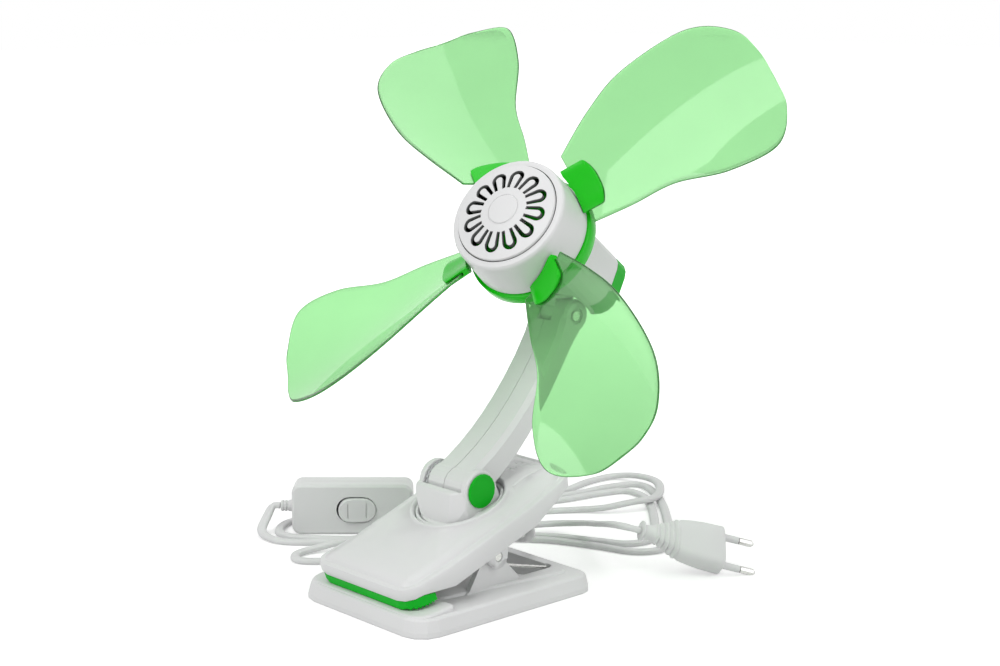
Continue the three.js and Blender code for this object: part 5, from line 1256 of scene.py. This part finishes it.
# ---- turning foot
@dataclass
class Yoke:
    """Round foot that turns in the jaw, with a box-like cup and two ears for the arm's knuckle."""

    floor: float = 13.5
    stem: float = 5.6
    stem_end: float = 10.3
    bore: float = 1.7
    foot: float = 23.4
    deck: float = 17.6
    groove: float = 20.6
    rim: float = 18.9
    ear_inner: float = 14.3
    ear_outer: float = 18.0
    ear_radius: float = 10.5
    ear_soft: float = 0.9
    pivot: Pair = (1.9, 27.3)
    room: float = 10.3
    front: float = -11.3
    slope: float = 0.5
    slant_from: float = 10.0
    slant: float = 4.9
    top: float = 31.5
    rear: float = 11.0
    bolt: float = 3.2
    nut_pocket: tuple[float, float, float] = (6.2, 15.6, 19.0)

    def base(self) -> Piece:
        """Foot with its stem, a narrow groove round the cup and a rounded rim outside it."""
        r, z, g, top = self.foot, self.deck, self.groove, self.rim
        profile = [(self.bore, self.stem_end), (self.stem, self.stem_end), (self.stem, self.floor),
                   (r - 0.8, self.floor), (r, self.floor + 0.8), (r, z - 0.4), (r - 0.12, z + 0.4),
                   (r - 0.45, top - 0.25), (r - 0.95, top),
                   (r - 1.45, top - 0.15), (r - 1.8, top - 0.6), (g + 0.8, z - 2.2), (g, z - 2.2), (g, z),
                   (self.bore, z)]
        return piece_from("turning_foot", *turned(profile, 120), Place.YOKE)

    def plan(self, height: float, less: float) -> Ring:
        """Outline of the cup at a height: square at the left, slanted towards the right ear.

        Args:
            height: Height in the yoke's axes.
            less: How far it is drawn in.

        Returns:
            The ring of points.
        """
        front = self.front - (self.top - height) * self.slope + less
        half = self.ear_outer - 0.01 - less * 0.4
        marks = [(-half, self.rear, 2.0), (-half, front, 3.4), (self.slant_from - less * 0.3, front, 2.6),
                 (half, front + self.slant, 1.6), (half, self.rear, 2.0)]
        out = []
        for k, (x, y, radius) in enumerate(marks):
            at = Vector((x, y, height))
            back = (Vector((*marks[k - 1][:2], height)) - at).normalized()
            ahead = (Vector((*marks[(k + 1) % len(marks)][:2], height)) - at).normalized()
            cut = radius / math.tan(back.angle(ahead) / 2)
            for step in range(7):
                t = step / 6
                a, b = at + back * cut, at + ahead * cut
                out.append(a * (1 - t)**2 + at * 2 * t * (1 - t) + b * t**2)
        return out

    def cup(self) -> Piece:
        """Wall round the knuckle, kept inside the groove."""
        low = self.deck - 1
        marks = [(low, 0), (self.deck + 4, 0), (self.top - 1.4, 0), (self.top - 0.7, 0.12), (self.top - 0.2, 0.45),
                 (self.top, 1.0)]
        wall = piece_from("cup", *lofted([self.plan(z, less) for z, less in marks]), Place.YOKE)
        return carved(wall, [peg("inside_groove", self.groove, 0, 60, Place.YOKE, 120)], "INTERSECT")

    def ear(self, inner: float, outer: float) -> Piece:
        """Ear with softly rounded rims.

        Args:
            inner: Where it starts along the tilt axis, nearest the arm.
            outer: Where it ends.

        Returns:
            The ear.
        """
        side = math.copysign(1, outer)
        half_turn = [math.pi * k / 30 for k in range(31)]
        rings = []
        for share, less in ((0, 0.3), (0.3, 0), (-self.ear_soft, 0), (-self.ear_soft * 0.35, 0.3), (0, self.ear_soft)):
            x = (inner if share >= 0 and less < 0.31 else outer) + side * share
            r = self.ear_radius - less
            arc = [(self.pivot[0] - r * math.cos(a), self.pivot[1] + r * math.sin(a)) for a in half_turn]
            line = [(arc[0][0], self.deck - 1), *arc, (arc[-1][0], self.deck - 1)]
            rings.append([Vector((x, y, z)) for y, z in line])
        return piece_from("ear", *lofted(rings), Place.YOKE)

    def rod(self, radius: float, low: float, high: float) -> Piece:
        """Round cutter along the tilt axis."""
        place = Place.YOKE @ Matrix.Translation((0, *self.pivot)) @ turn("Y", 90)
        return peg("cutter", radius, low, high, place, 72)

    def block(self, low: Pair, high: Pair) -> Piece:
        """Square cutter between the ears, from one Y and Z to another."""
        corners = (low, (high[0], low[1]), high, (low[0], high[1]))
        return piece_from("cutter", *lofted([[Vector((x, *corner)) for corner in corners]
                                             for x in (-self.ear_inner, self.ear_inner)]), Place.YOKE)

    def build(self) -> None:
        """Make the foot, its cup and both ears, and clear room for the arm and the bolt."""
        ears = [self.ear(self.ear_inner * side, self.ear_outer * side) for side in (1, -1)]
        yoke = carved(self.base(), [self.cup(), *ears], "UNION")
        y, z = self.pivot
        cutters = [self.rod(self.room, -self.ear_inner, self.ear_inner), self.block((y, z - self.room), (40, 90)),
                   self.block((y - self.room, z), (40, 90)), self.rod(self.bolt, -40, 40), self.rod(*self.nut_pocket)]
        fitted(carved(yoke, cutters, crease=26), WHITE, Body.YOKE, "yoke")


# ---- clamp springs
@dataclass
class Springs:
    """Torsion springs round the pivot pin, one leg on the jaw and one hooked in the base."""

    wire: float = 1.6
    radius: float = 5.5
    start: float = 128.0
    sweep: float = 1560.0
    pitch: float = 1.95
    first: float = 16.8
    foot: Pair = (45.4, 10.0)
    jaw_foot: Pair = (30.0, 9.7)
    pivot: Pair = (4.2, 26.4)
    spread: float = 8.4
    step: float = 9.0

    def centre_line(self, side: int) -> list[Vector]:
        """Centre line of a spring.

        Args:
            side: One for the right spring, minus one for the left.

        Returns:
            Points from the jaw's leg to the base's.
        """
        steps = int(self.sweep / self.step)
        coil = []
        for k in range(steps + 1):
            gone = self.sweep * k / steps
            a = math.radians(self.start + gone)
            coil.append(Vector((side * (self.first + self.pitch * gone / 360),
                                self.pivot[0] + self.radius * math.cos(a), self.pivot[1] + self.radius * math.sin(a))))
        upper = Place.JAW @ Vector((side * self.first, *self.jaw_foot))
        lower = Vector((coil[-1].x, *self.foot))
        return [upper, upper.lerp(coil[0], 0.5), upper.lerp(coil[0], 0.93), *coil[1:-1],
                coil[-1].lerp(lower, 0.07), coil[-1].lerp(lower, 0.5), lower]

    def build(self) -> None:
        """Wind both springs; their legs bend from the jaw to the base."""
        for side, name in ((-1, "left"), (1, "right")):
            line = self.centre_line(side)
            rings = []
            for at, along in zip(line, headings(line)):
                out = (Vector((1, 0, 0)) - along * along.x).normalized()
                rings.append(hoop(at, out, along.cross(out), self.wire / 2))
            spring = piece_from(f"spring_{name}", *lofted(rings), Place.WORLD, crease=60)
            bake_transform(spring)
            dressed(spring, STEEL, f"clamp_spring_{name}")


# ---- parts that keep their CAD shape
class Carried:
    """CAD nodes whose shape is right, each with its finish."""

    FINISHES: dict[Finish, str] = {
        WHITE: "clamp_base cord_gland arm_shell_left arm_shell_right head_neck motor_housing switch_front switch_rear "
               "switch_relief_plug_side switch_relief_fan_side switch_rocker",
        GREEN: "rear_cap tilt_cap",
        RUBBER: "jaw_grip",
        GREY: "detent_ring swivel_washer neck_washer",
        STEEL: "pivot_pin tilt_bolt tilt_nut swivel_screw arm_screw_1 arm_screw_2 arm_screw_3 head_pin neck_screw "
               "cap_screw_left cap_screw_right rear_bridge front_bridge motor_shaft shaft_nut switch_screw_1 "
               "switch_screw_2 plug_pin_upper plug_pin_lower",
        CORE: "stator_core rotor_core",
        COPPER: "motor_coil",
        BRONZE: "rear_bearing front_bearing",
    }

    @classmethod
    def dress(cls) -> None:
        """Give every carried node its finish."""
        for finish, names in cls.FINISHES.items():
            for name in names.split():
                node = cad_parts[name]
                node.data.materials.clear()
                node.data.materials.append(finish.material())
                log.info("dressed %s", name)


def main() -> None:
    """Build the fan in order."""
    logging.basicConfig(level=logging.INFO, format="%(name)s: %(message)s")
    Studio().set_up()
    plug = Plug()
    plug.build()
    Lead().build(plug)
    Springs().build()
    Rotor().build()
    Jaw().build()
    Yoke().build()
    Carried.dress()


if __name__ == "__main__":
    main()
